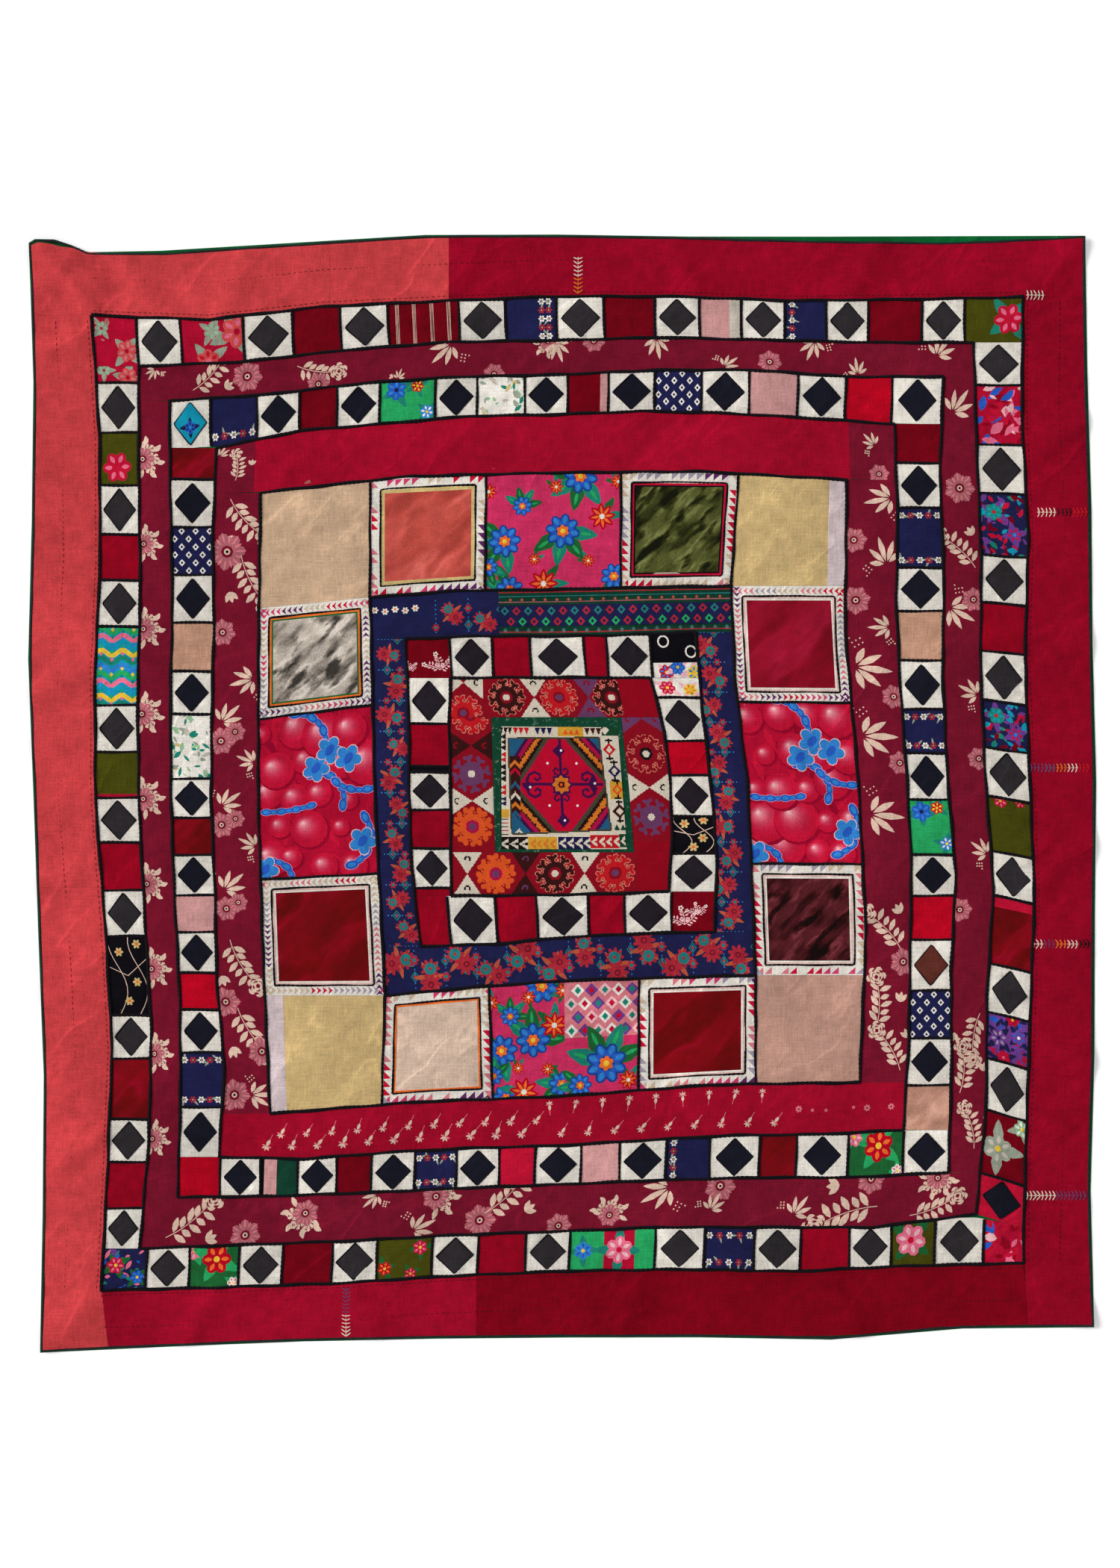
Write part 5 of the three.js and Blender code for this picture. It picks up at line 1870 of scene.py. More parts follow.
def centre_border():
    """Cream strips round the field with rows of small stitched motifs."""
    far = 110
    ring = [(-far, far), (far, far), (far, -far), (-far, -far)]
    shapes = []
    for k, start in enumerate(FIELD):
        end = FIELD[(k + 1) % 4]
        shapes += charted("wool_cream", ring[k], start, end, ring[(k + 1) % 4])
        shapes += stroke(chart([start, end]), 3.5, "wool_moss")
    for x1, x2, ink in ((-84, -66, "wool_black"), (-65, -42, "wool_bright"), (-35, -10, "wool_navy"),
                        (34, 58, "wool_brown")):
        shapes += chart_row(x2, 81, x1, 81, 3, 10, ink)
    shapes += chart_box(-2.5, 69, 33, 83, "wool_gold") + chart_row(4, 72, 28, 72, 3, 7, "wool_orange")
    shapes += chart_box(58, 70, 88, 88, "wool_green")
    shapes += chart_diamond(63, 78, 6, 6, "wool_cream")
    shapes += eye(67, 52, 8.5, 9.5, "wool_bright") + eye(72, 23, 8.5, 9.5, "wool_navy")
    shapes += chart_box(64, -15, 86, 10, "wool_gold") + eye(74, -2, 7, 8, "wool_orange", "wool_gold")
    shapes += eye(75, -31, 9.5, 10, "wool_brown") + chart_row(82, -57, 66, -57, 2, -9, "wool_green")
    for y1, y2, ink in ((72, 50, "wool_black"), (48, 34, "wool_bright"), (32, 8, "wool_black"),
                        (4, -10, "wool_bright"), (-12, -24, "wool_navy")):
        shapes += chart_row(-75, y1, -75, y2, max(1, round((y1 - y2) / 8)), -8, ink)
    shapes += chart_box(-84, -40, -71, -28, "wool_gold")
    for k in range(6):
        shapes += chart_box(-84, -43 - 5 * k, -72, -41 - 5 * k, "wool_magenta" if k % 2 else "wool_brown")
    shapes += fish_bones(-84, -47, -75, "wool_black", 3) + fish_bones(-8, 34, -74, "wool_navy", 4)
    shapes += fish_bones(34, 72, -72, "wool_bright", 4) + fish_bones(72, 88, -71, "wool_green", 2)
    shapes += chart_box(-47, -84, -9, -66, "wool_gold")
    return shapes + fish_bones(-45, -12, -75, "wool_gold", 4, "wool_amber")


def centre_chart(w, h, rng):
    shapes = centre_field() + ram_horns() + centre_border()
    return "wool_teal", [([(x + w / 2, y + h / 2) for x, y in points], ink) for points, ink in shapes]


# Cross stitch: every cell is a small raised cross of one ink, with painted shade at its sunken corners

STITCH = 1.9
STITCH_RELIEF = 0.35 * MM


def in_shape(x, y, outline):
    """Which of the points x, y lie inside an outline."""
    inside = np.zeros(len(x), bool)
    px, py = np.array(outline).T
    for k in range(len(px)):
        x1, y1, x2, y2 = px[k - 1], py[k - 1], px[k], py[k]
        if y1 != y2:
            crosses = (y1 > y) != (y2 > y)
            inside ^= crosses & (x < (x2 - x1) * (y - y1) / (y2 - y1) + x1)
    return inside


def stitch_mesh(panel, ground, shapes, rng):
    """The upper side of a cross-stitched panel, four triangles to a stitch."""
    w, h = panel.width, panel.height
    columns, rows = round(w / STITCH), round(h / STITCH)
    dx, dy = w / columns, h / rows
    cx, cy = np.meshgrid((np.arange(columns) + 0.5) * dx, (np.arange(rows) + 0.5) * dy)
    cx, cy = cx.ravel(), cy.ravel()
    names = [ground] + [ink for _, ink in shapes]
    top = np.zeros(len(cx), int)
    for index, (outline, _) in enumerate(shapes):
        top[in_shape(cx, cy, outline)] = index + 1
    gx, gy = np.meshgrid(np.arange(columns + 1) * dx, np.arange(rows + 1) * dy)
    knots = np.stack([gx.ravel(), gy.ravel()], axis=1)
    plan = np.concatenate([knots, np.stack([cx, cy], axis=1)])
    laid = panel.plan(plan)
    shares = plan / (w, h)
    puff = settings("cloth").puff * np.prod(1 - np.abs(2 * shares - 1) ** 6, axis=1)
    height = surface(laid) + puff
    height[len(knots):] += STITCH_RELIEF * np.array([rng.uniform(0.7, 1.3) for _ in cx])
    cells = np.arange(columns * rows)
    low = (cells // columns) * (columns + 1) + cells % columns
    corners = (low, low + 1, low + columns + 2, low + columns + 1)
    middle = len(knots) + cells
    faces = np.concatenate([np.stack([corners[k], corners[(k + 1) % 4], middle], 1) for k in range(4)])
    colours = np.array([ink_colour(name) for name in names])[top]
    shade = np.array([rng.uniform(0.86, 1.12) for _ in cx])[:, None]
    corner = np.tile((colours * shade)[:, None, :].repeat(3, axis=1), (4, 1, 1))
    # Painted shade: each stitch is darker at its sunken corners than at its raised middle.
    corner[:, :2] *= 0.82
    finish = np.full(len(faces), FINISHES.index("thread"))
    return (np.column_stack([laid, height]), faces, finish, corner), knots_rim(columns, rows)


def knots_rim(columns, rows):
    """The grid's rim: its lower row, its upper row, and the ends of the rows between."""
    wide = columns + 1
    south, north = np.arange(wide), np.arange(wide) + rows * wide
    west = np.arange(1, rows) * wide
    return south, north, west, west + columns


def plain_backed(part, rim, thickness):
    """Closes a stitched panel with a rim and a back of long strips."""
    points, faces, finish, corner = part
    south, north, west, east = rim
    around = np.concatenate([south, east, north[::-1], west[::-1]])
    count, slot = len(points), {}
    for place, index in enumerate(around):
        slot[int(index)] = count + place
    under = points[around] - (0, 0, thickness)
    down = np.vectorize(slot.get)
    ring = np.roll(around, -1)
    walls = [np.stack([around, down(around), down(ring)], 1), np.stack([around, down(ring), ring], 1)]
    s, n, w, e = down(south), down(north), down(west), down(east)
    middle = slice(1, -2)
    strips = [np.stack([s[middle], n[middle], n[2:-1]], 1), np.stack([s[middle], n[2:-1], s[2:-1]], 1)]
    left = np.concatenate([[s[0]], w, [n[0], n[1]]])
    right = np.concatenate([[s[-1]], e, [n[-1]]])
    strips.append(np.stack([np.full(len(left) - 1, s[1]), left[:-1], left[1:]], 1))
    strips.append(np.stack([np.full(len(right) - 1, n[-2]), right[1:], right[:-1]], 1))
    strips.append(np.array([[n[-2], s[-1], s[-2]]]))
    return with_back(points, faces, finish, corner, under, np.concatenate(walls + strips))


# Threads, cords and beads

def resample(path, step):
    path = np.asarray(path, float)
    run = np.concatenate([[0], np.cumsum(np.linalg.norm(np.diff(path, axis=0), axis=1))])
    count = max(2, int(round(run[-1] / step)) + 1)
    at = np.linspace(0, run[-1], count)
    return np.stack([np.interp(at, run, path[:, k]) for k in range(path.shape[1])], axis=1), at


def sideways(path):
    """Steps of unit length to the left of a path's run, seen from above."""
    ahead = np.gradient(path, axis=0)
    side = np.stack([-ahead[:, 1], ahead[:, 0]], axis=1)
    return side / (np.linalg.norm(side, axis=1)[:, None] + 1e-12)


def tube(centres, side_radius, up_radius, colour, sides=6, lobes=None):
    """A closed tube about a line in space, flatter than it is wide if asked."""
    side = np.column_stack([sideways(centres), np.zeros(len(centres))])
    turn = np.linspace(0, 2 * math.pi, sides, False)
    swell = np.ones((len(centres), sides)) if lobes is None else lobes(turn)
    out = (swell * np.cos(turn))[:, :, None] * side[:, None] * np.reshape(side_radius, (-1, 1, 1))
    up = (swell * np.sin(turn))[:, :, None] * np.array([0, 0, 1.0]) * np.reshape(up_radius, (-1, 1, 1))
    ring = centres[:, None] + out + up
    count = len(centres)
    points = np.concatenate([ring.reshape(-1, 3), centres[[0, -1]]])
    a = (np.arange(count - 1)[:, None] * sides + np.arange(sides)).ravel()
    b = (np.arange(count - 1)[:, None] * sides + (np.arange(sides) + 1) % sides).ravel()
    walls = np.concatenate([np.stack([a, a + sides, b + sides], 1), np.stack([a, b + sides, b], 1)])
    first, last = np.arange(sides), (count - 1) * sides + np.arange(sides)
    ends = np.concatenate([
        np.stack([np.full(sides, count * sides), first, np.roll(first, -1)], 1),
        np.stack([np.full(sides, count * sides + 1), np.roll(last, -1), last], 1),
    ])
    faces = np.concatenate([walls, ends])
    return points, faces, np.zeros(len(faces), int), one_dye(colour, faces)


def couched_cord(path, width, colour, rng, step=4.6 * MM, sides=6, flat=0.72, pitch=9.0 * MM, lift=0.3):
    """A twisted cord laid on the top and tied down every little way."""
    line, run = resample(path, step)
    phase = rng.uniform(0, 6.28)
    wander = 0.10 * width * np.sin(run / (0.017 + 0.006 * rng.random()) + phase)
    line = line + sideways(line) * wander[:, None]
    thick = 1 + 0.12 * np.sin(run / 0.043 + phase) + 0.09 * np.sin(run / 0.011 + 2 * phase)
    half = width / 2 * thick
    tall = half * flat
    centres = np.column_stack([line, np.maximum(surface(line) + lift * tall, 1.2 * tall)])

    def lobes(turn):
        return 1 + 0.17 * np.cos(2 * turn[None, :] - 2 * math.pi * run[:, None] / pitch)

    part = tube(centres, half, tall, colour, sides, lobes)
    shade = 1 + 0.35 * np.array([rng.uniform(-1, 1) for _ in range(len(part[1]))])
    return part[0], part[1], part[2], part[3] * shade[:, None, None]


def make_cords(name, parts, finish="cord"):
    piece = make_object(name, *join_parts(parts), finishes=(finish,), sharp=1.3)
    return piece


def sewn_thread(points, width, colour, lift=0.55 * MM, arch=0.5 * MM, sides=5):
    """One stitch from point to point, sunk at both ends."""
    line, run = resample(points, 2.2 * MM)
    share = run / max(run[-1], 1e-9)
    rise = lift + arch * np.sin(math.pi * share)
    half = width / 2 * (0.55 + 0.45 * np.sin(math.pi * share) ** 0.5)
    return tube(np.column_stack([line, surface(line) + rise]), half, half * 0.8, colour, sides)


def running_stitches(path, length, gap, width, colour, rng):
    """Stitches of an even length along a path, with small slips."""
    line, run = resample(path, 1.5 * MM)
    parts, at = [], gap
    while at + length < run[-1]:
        ends = np.array([at, at + length * 0.5, at + length * rng.uniform(0.85, 1.1)])
        points = np.stack([np.interp(ends, run, line[:, k]) for k in range(2)], axis=1)
        parts.append(sewn_thread(points, width, colour))
        at += length + gap * rng.uniform(0.8, 1.25)
    return parts


FEATHER_PITCH = 7.5 * MM
FEATHER_REACH = 9.5 * MM


def feather_line(x1, y1, x2, y2, colours, rng, width=2.3 * MM):
    """A feather-stitched line: arms to both sides of a stem, in lengths of each colour."""
    start, end = np.array([x1, y1]) * MM, np.array([x2, y2]) * MM
    length = np.linalg.norm(end - start)
    ahead = (end - start) / length
    side = np.array([-ahead[1], ahead[0]])
    parts = []
    count = int(length / FEATHER_PITCH)
    for k in range(count):
        foot = start + ahead * (k + 0.5) * length / count
        lean = ahead * rng.uniform(1, 4) * MM
        colour = colours[k * len(colours) // count]
        for reach in (FEATHER_REACH, -FEATHER_REACH):
            parts.append(sewn_thread([foot + lean, foot + side * reach - lean], width, colour))
        parts.append(sewn_thread([foot - ahead * 3 * MM, foot + ahead * 4 * MM], width, colour))
    return parts


def bead(x, y, radius, colour):
    """A round bead with a dimple where its thread runs through."""
    steps, sides = 9, 14
    base = surface(np.array([[x, y]]))[0] + 1.6 * MM
    profile = [(0.28, 0.52)] + [(math.cos(t), 0.72 * math.sin(t)) for t in np.linspace(1.15, -1.2, steps)]
    rings = np.array([[(r * radius * math.cos(a) + x, r * radius * math.sin(a) + y, z * radius + base)
                       for a in np.linspace(0, 2 * math.pi, sides, False)] for r, z in profile])
    poles = [(x, y, base + 0.3 * radius), (x, y, base - 0.7 * radius)]
    points = np.concatenate([rings.reshape(-1, 3), poles])
    faces = []
    for k in range(len(profile) - 1):
        for j in range(sides):
            a, b = k * sides + j, k * sides + (j + 1) % sides
            faces += [(a, a + sides, b + sides), (a, b + sides, b)]
    top, low, last = len(points) - 2, len(points) - 1, (len(profile) - 1) * sides
    for j in range(sides):
        faces += [(top, j, (j + 1) % sides), (low, last + (j + 1) % sides, last + j)]
    return points, np.array(faces), np.zeros(len(faces), int), one_dye(colour, faces)


# Seams of the frame that carry a cord

BANDS = {}


def seam_band(node):
    if node not in BANDS:
        BANDS[node] = band_of(node)
    return BANDS[node]


def outer_seam(ring, side):
    """The outer seam of a ring along one side, from corner to corner."""
    band = seam_band(f"{ring}_{side}")
    if side in ("top", "bottom"):
        return band.high if side == "top" else band.low
    end = 0 if side == "left" else -1
    run = band.low if side == "left" else band.high
    return np.vstack([seam_band(f"{ring}_bottom").low[end], run, seam_band(f"{ring}_top").high[end]])


def inner_seam(ring, side):
    band = seam_band(f"{ring}_{side}")
    if side in ("left", "right"):
        return band.high if side == "left" else band.low
    run, end = (band.low, -1) if side == "top" else (band.high, 0)
    first = seam_band(f"{ring}_left").high[end][0]
    last = seam_band(f"{ring}_right").low[end][0]
    x = np.linspace(first, last, 60)
    return np.column_stack([x, np.interp(x, run[:, 0], run[:, 1])])


def cross_line(band, share, low=0.0, high=1.0):
    """A straight cut across a band at a share of its length."""
    over = np.linspace(low, high, 6)
    along = np.full(6, share)
    return band.plan(over, along) if band.upright else band.plan(along, over)


# Pieces

BORDER_INKS = {
    "border_top_1": "coral", "border_top_2": "coral", "border_top_3": "red", "border_right": "red",
    "border_bottom_1": "crimson", "border_bottom_2": "dark_red", "border_left_1": "coral",
    "border_left_2": "coral", "border_left_3": "coral", "border_left_4": "coral",
}
LONG_BANDS = {
    "floral_band_top": strewn(
        "burgundy",
        "rose 0.065 0.25 120 20, bloom 0.13 0.55 66 0, lily 0.02 0.9 40 250, rose 0.19 0.7 100 -20, "
        "bloom 0.215 0.12 50 0, lily 0.375 0.95 78 245, lily 0.31 0.06 34 80, crowd 0.49 0.97 66 -80, "
        "bloom 0.425 0.05 50 0, lily 0.5 0.95 70 -60, bloom 0.545 0.95 50 0, lily 0.62 1.0 66 -60, "
        "lily 0.7 0.1 56 60, bloom 0.755 0.3 54 0, lily 0.81 1.0 66 -90, lily 0.86 0.05 56 100, "
        "lily 0.955 0.6 74 60"),
    "floral_band_right": strewn(
        "burgundy",
        "lily 0.3 0.955 86 60, bloom 0.5 0.86 66 0, rose 0.85 0.76 120 115, lily 0.15 0.71 84 -20, "
        "bloom 0.8 0.72 52 0, lily 0.9 0.6 66 160, bloom 0.85 0.52 56 0, lily 0.9 0.4 66 160, "
        "bloom 0.15 0.33 56 0, rose 0.8 0.2 120 250, rose 0.25 0.1 120 70, rose 0.75 0.03 110 100"),
    "floral_band_bottom": strewn(
        "burgundy",
        "rose 0.03 0.2 150 28, bloom 0.125 0.2 66 0, crowd 0.195 0.62 100 240, lily 0.28 0.95 60 240, "
        "crowd 0.35 0.85 96 20, bloom 0.405 0.3 70 0, lily 0.325 0.14 76 30, rose 0.41 0.45 140 20, "
        "bloom 0.5 0.12 60 0, crowd 0.56 0.3 84 90, lily 0.63 0.85 96 210, bloom 0.69 0.85 70 0, "
        "lily 0.68 0.35 56 70, lily 0.78 0.25 70 60, rose 0.88 0.4 150 190, bloom 0.87 0.95 66 0, "
        "crowd 0.95 0.9 92 260, rose 0.92 0.15 120 10"),
    "floral_band_left": strewn("burgundy", *row_of("crowd", 0.02, 0.98, 9, 0.12, 84, 10), along=True),
    "wide_band_top": crimson_top,
    "wide_band_right": strewn(
        "burgundy",
        "lily 0.9 0.97 90 200, bloom 0.15 0.9 60 0, lily 0.8 0.86 90 120, bloom 0.2 0.8 68 0, "
        "lily 0.85 0.755 70 190, lily 0.12 0.69 110 10, bloom 0.85 0.64 56 0, lily 0.15 0.575 110 20, "
        "bloom 0.88 0.53 56 0, lily 0.2 0.445 110 10, rose 0.8 0.22 130 110, rose 0.3 0.09 130 70, "
        "bloom 0.85 0.2 60 0, rose 0.85 0.02 120 110"),
    "wide_band_bottom": red_bottom,
    "wide_band_left": strewn(
        "burgundy",
        "rose 0.35 0.99 130 285, bloom 0.3 0.905 84 0, rose 0.6 0.9 130 -70, bloom 0.2 0.775 60 0, "
        "lily 0.9 0.7 84 200, lily 0.2 0.63 76 60, bloom 0.2 0.6 62 0, bloom 0.5 0.615 44 0, "
        "lily 0.92 0.565 64 180, lily 0.2 0.495 76 60, bloom 0.2 0.465 62 0, bloom 0.5 0.475 44 0, "
        "lily 0.92 0.43 64 180, lily 0.2 0.36 76 50, bloom 0.24 0.33 60 0, bloom 0.5 0.34 42 0, "
        "rose 0.3 0.28 140 -70, bloom 0.15 0.18 64 0, rose 0.4 0.17 130 -70, bloom 0.88 0.1 68 0, "
        "bloom 0.25 0.03 70 0, lily 0.6 0.03 70 20"),
    "blue_band_top": navy_top,
    "blue_band_right": navy_band(0.32, size=12.0),
    "blue_band_bottom": navy_band(0.5, pitch=132.0, reach=0.18, size=16.0),
    "blue_band_left": navy_band(0.6, pitch=126.0, size=12.0),
}
CORDED_RINGS = ("outer_patches", "floral_band", "inner_patches", "wide_band", "blue_band",
                "small_patches", "embroidered_band")


def outline_mesh(loops, step, height_of, colour, finish):
    """The upper side of a flat piece cut to a loop, less any loop inside it."""
    points, faces = [], []
    for loop in loops:
        faces.append(list(range(len(points), len(points) + len(loop))))
        points += [Vector(p[:2]) for p in anticlockwise(loop.tolist())]
    low, high = loops[0][:, :2].min(axis=0), loops[0][:, :2].max(axis=0)
    count = np.maximum(1, np.round((high - low) / step)).astype(int)
    for x in np.linspace(low[0], high[0], count[0] + 1)[1:-1]:
        for y in np.linspace(low[1], high[1], count[1] + 1)[1:-1]:
            points.append(Vector((x, y)))
    found = delaunay_2d_cdt(points, [], faces, 1, 1e-6, True)
    kept = np.array([tri for tri, source in zip(found[2], found[5]) if list(source) == [0]])
    plan = np.array([tuple(p) for p in found[0]])
    used = np.unique(kept)
    kept = renumbered(used, len(plan))[kept]
    plan = plan[used]
    return (np.column_stack([plan, height_of(plan)]), kept,
            np.full(len(kept), FINISHES.index(finish)), one_dye(colour, kept))


def lining_height(plan):
    """Top of the lining: flat, but for the corner that is raised with the cover's fold."""
    ridge = 0.45 * fold_height(plan, FOLDS[:1])
    waves = np.array([noise.noise(Vector((x * 14, y * 14, 0.7))) for x, y in plan.tolist()])
    return LINING_TOP + ridge * (ridge > 0.05 * MM) + waves.clip(-1, 1) * 0.08 * MM - 0.12 * MM


LINING_THICKNESS = 0.75 * MM
LINING_STEP = 30 * MM


class SUZANI_OT_lining(bpy.types.Operator):
    """Cut the green lining"""

    bl_idname = "suzani.lining"
    bl_label = "Lining"

    def execute(self, context):
        loop = top_loops("lining")[0]
        part = outline_mesh([loop], LINING_STEP, lining_height, ink_colour("lining"), "cotton")
        piece = make_object("lining_cloth", *closed_sheet(*part, LINING_THICKNESS))
        stand_for("lining")
        return {"FINISHED"}


def build_piece(node, fill):
    """One cloth over the whole of a node, with its print."""
    rng = random.Random(seed_of(node))
    panel = seam_band(node).part(0.0, 1.0)
    make_cloth(node, [panel_mesh(panel, *fill(panel.width, panel.height, rng), rng)])


class SUZANI_OT_borders(bpy.types.Operator):
    """Lay the coral, red and crimson strips of the border"""

    bl_idname = "suzani.borders"
    bl_label = "Borders"

    def execute(self, context):
        for node, ink in BORDER_INKS.items():
            build_piece(node, plain(ink))
        return {"FINISHED"}


class SUZANI_OT_patches(bpy.types.Operator):
    """Piece the patches of the outer, inner and small rings"""

    bl_idname = "suzani.patches"
    bl_label = "Patch rings"

    def execute(self, context):
        for ring, (diamond_ink, tables) in PATCH_RINGS.items():
            for side in SIDES:
                build_patch_band(f"{ring}_{side}", tables[side], diamond_ink)
        return {"FINISHED"}


class SUZANI_OT_long_bands(bpy.types.Operator):
    """Lay the flowered, crimson and navy bands"""

    bl_idname = "suzani.long_bands"
    bl_label = "Long bands"

    def execute(self, context):
        for node, fill in LONG_BANDS.items():
            build_piece(node, fill)
        return {"FINISHED"}


class SUZANI_OT_blocks(bpy.types.Operator):
    """Piece the silk, velvet and printed blocks"""

    bl_idname = "suzani.blocks"
    bl_label = "Blocks"

    def execute(self, context):
        for side, fills in BLOCKS.items():
            for place, fill in enumerate(fills, 1):
                build_piece(f"block_{side}_{place}", fill)
        return {"FINISHED"}


class SUZANI_OT_stitched(bpy.types.Operator):
    """Work the cross-stitched bands and the centre panel"""

    bl_idname = "suzani.stitched"
    bl_label = "Cross stitch"

    def execute(self, context):
        fills = {f"embroidered_band_{side}": fill for side, fill in STITCHED_BANDS.items()}
        fills["centre_panel"] = centre_chart
        for node, fill in fills.items():
            rng = random.Random(seed_of(node))
            panel = seam_band(node).part(0.0, 1.0)
            ground, shapes = fill(panel.width, panel.height, rng)
            part, rim = stitch_mesh(panel, ground, shapes, rng)
            piece = make_object(f"{node}_stitched", *plain_backed(part, rim, CLOTH_THICKNESS))
            stand_for(node)
        return {"FINISHED"}


RIBBON_THICKNESS = 1.5 * MM
RIBBON_STEP = 4.5 * MM
RIBBON_RISE = 0.7 * MM
RIBBON_WEAR = 0.35 * MM


class SUZANI_OT_binding(bpy.types.Operator):
    """Lay the green ribbon, rubbed pale in flecks, round the centre panel"""

    bl_idname = "suzani.binding"
    bl_label = "Centre binding"

    def execute(self, context):
        loops = sorted(top_loops("centre_binding"), key=lambda loop: -np.ptp(loop[:, 0]))

        def crowned(plan):
            waves = np.array([noise.noise(Vector((x * 90, y * 90, 5.0))) for x, y in plan.tolist()])
            return surface(plan) + RIBBON_RISE + RIBBON_WEAR * waves

        part = outline_mesh(loops, RIBBON_STEP, crowned, ink_colour("binding"), "cotton")
        part = (part[0], part[1], np.zeros(len(part[1]), int), part[3])
        sheet = closed_sheet(*part, RIBBON_THICKNESS)
        piece = make_object("centre_binding_ribbon", *sheet, finishes=("ribbon",))
        stand_for("centre_binding")
        return {"FINISHED"}


def centre_line(node):
    """The line midway between the two long sides of a narrow strip."""
    loop = top_loops(node)[0]
    gaps = np.linalg.norm(np.roll(loop, -1, axis=0) - loop, axis=1)
    first, second = sorted(np.argsort(gaps)[:2])
    one = loop[first + 1: second + 1]
    other = np.roll(loop, -(second + 1), axis=0)[:len(loop) - len(one)][::-1]
    if len(one) != len(other):
        raise ValueError(f"{node} has sides of {len(one)} and {len(other)} points")
    return ((one + other) / 2)[:, :2]


class SUZANI_OT_edge_cords(bpy.types.Operator):
    """Sew the dark cord round the hem"""

    bl_idname = "suzani.edge_cords"
    bl_label = "Edge cords"

    def execute(self, context):
        width = settings("cords").edge
        for node in ("edge_binding_upper", "edge_binding_lower"):
            rng = random.Random(seed_of(node))
            part = couched_cord(centre_line(node), width, ink_colour("edge_cord"), rng,
                                step=4.2 * MM, flat=0.8, lift=-0.35)
            piece = make_cords(f"{node}_cord", [part])
            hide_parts(node)
        return {"FINISHED"}


# Widths of the cords over the cuts between patches and inside the frames, to a seam cord's
CUT_CORD = 0.85
FRAME_CORD = 0.62
BLOCK_CORD_SEED = 77


class SUZANI_OT_seam_cords(bpy.types.Operator):
    """Couch the black cords over the seams of every ring, patch and block"""

    bl_idname = "suzani.seam_cords"
    bl_label = "Seam cords"

    def execute(self, context):
        width = settings("cords").seam
        black = ink_colour("cord")
        for ring in CORDED_RINGS:
            rng = random.Random(seed_of(ring))
            parts = [couched_cord(outer_seam(ring, side), width, black, rng) for side in SIDES]
            make_cords(f"{ring}_cords", parts)
        rng = random.Random(BLOCK_CORD_SEED)
        parts = [couched_cord(inner_seam("wide_band", side), width, black, rng) for side in SIDES]
        for side in SIDES:
            for place in range(1, len(BLOCKS[side])):
                band = seam_band(f"block_{side}_{place}")
                line = cross_line(band, 0.0 if band.upright else 1.0)
                parts.append(couched_cord(line, width * CUT_CORD, black, rng))
            for place in FRAMED_BLOCKS[side]:
                panel = seam_band(f"block_{side}_{place}").part(0.0, 1.0)
                x, y = panel.width - FRAME_STRIP, panel.height - FRAME_STRIP
                corners = [(FRAME_STRIP, FRAME_STRIP), (x, FRAME_STRIP), (x, y), (FRAME_STRIP, y),
                           (FRAME_STRIP, FRAME_STRIP)]
                line = panel.plan(resample(corners, 5.0)[0])
                parts.append(couched_cord(line, width * FRAME_CORD, black, rng))
        make_cords("block_cords", parts)
        for ring, (_, tables) in PATCH_RINGS.items():
            parts = []
            for side in SIDES:
                band = seam_band(f"{ring}_{side}")
                for _, start, _ in patch_cuts(tables[side], band.upright):
                    if 0.001 < start < 0.999:
                        line = cross_line(band, start, 0.01, 0.99)
                        parts.append(couched_cord(line, width * CUT_CORD, black, rng))
            make_cords(f"{ring}_cut_cords", parts)
        return {"FINISHED"}


class SUZANI_OT_outlines(bpy.types.Operator):
    """Outline each diamond with a thin cord"""

    bl_idname = "suzani.outlines"
    bl_label = "Diamond outlines"

    def execute(self, context):
        width = settings("cords").outline
        for ring, (_, tables) in PATCH_RINGS.items():
            rng = random.Random(seed_of(ring))
            parts = []
            for side in SIDES:
                for kind, panel in patch_panels(f"{ring}_{side}", tables[side]):
                    if "diamond" not in kind:
                        continue
                    x, y, rx, ry = diamond_sizes(panel.width, panel.height)
                    corners = [(x + rx, y), (x, y + ry), (x - rx, y), (x, y - ry), (x + rx, y)]
                    line = panel.plan(resample(corners, 4.0)[0])
                    parts.append(couched_cord(line, width, ink_colour("cord"), rng, step=5.0 * MM,
                                              sides=5, flat=0.8, lift=0.9))
            make_cords(f"{ring}_outlines", parts)
        return {"FINISHED"}


# Length, gap and width of the running stitches, and how far outside the seam their rows lie
BORDER_STITCH = (6.5 * MM, 4.5 * MM, 1.1 * MM)
STITCH_ROWS = (9 * MM, 74 * MM)
STITCH_SEED = 31

# Feather-stitched lines: from x, y to x, y in millimetres, and their wools in turn
FEATHER_LINES = (
    (32, 1079, 32, 1004, ("wool_cream", "wool_amber")),
    (953, 565, 1056, 565, ("wool_cream", "wool_black", "wool_bright")),
    (938, 52, 1059, 52, ("wool_purple", "wool_teal", "wool_amber", "wool_cream", "wool_bright")),
    (943, -302, 1060, -302, ("wool_cream", "wool_purple", "wool_amber", "wool_cream", "wool_black")),
    (930, -807, 1053, -807, ("wool_cream", "wool_purple")),
    (930, 1000, 968, 1000, ("wool_cream",)),
    (-434, -991, -434, -1090, ("wool_purple", "wool_cream")),
)


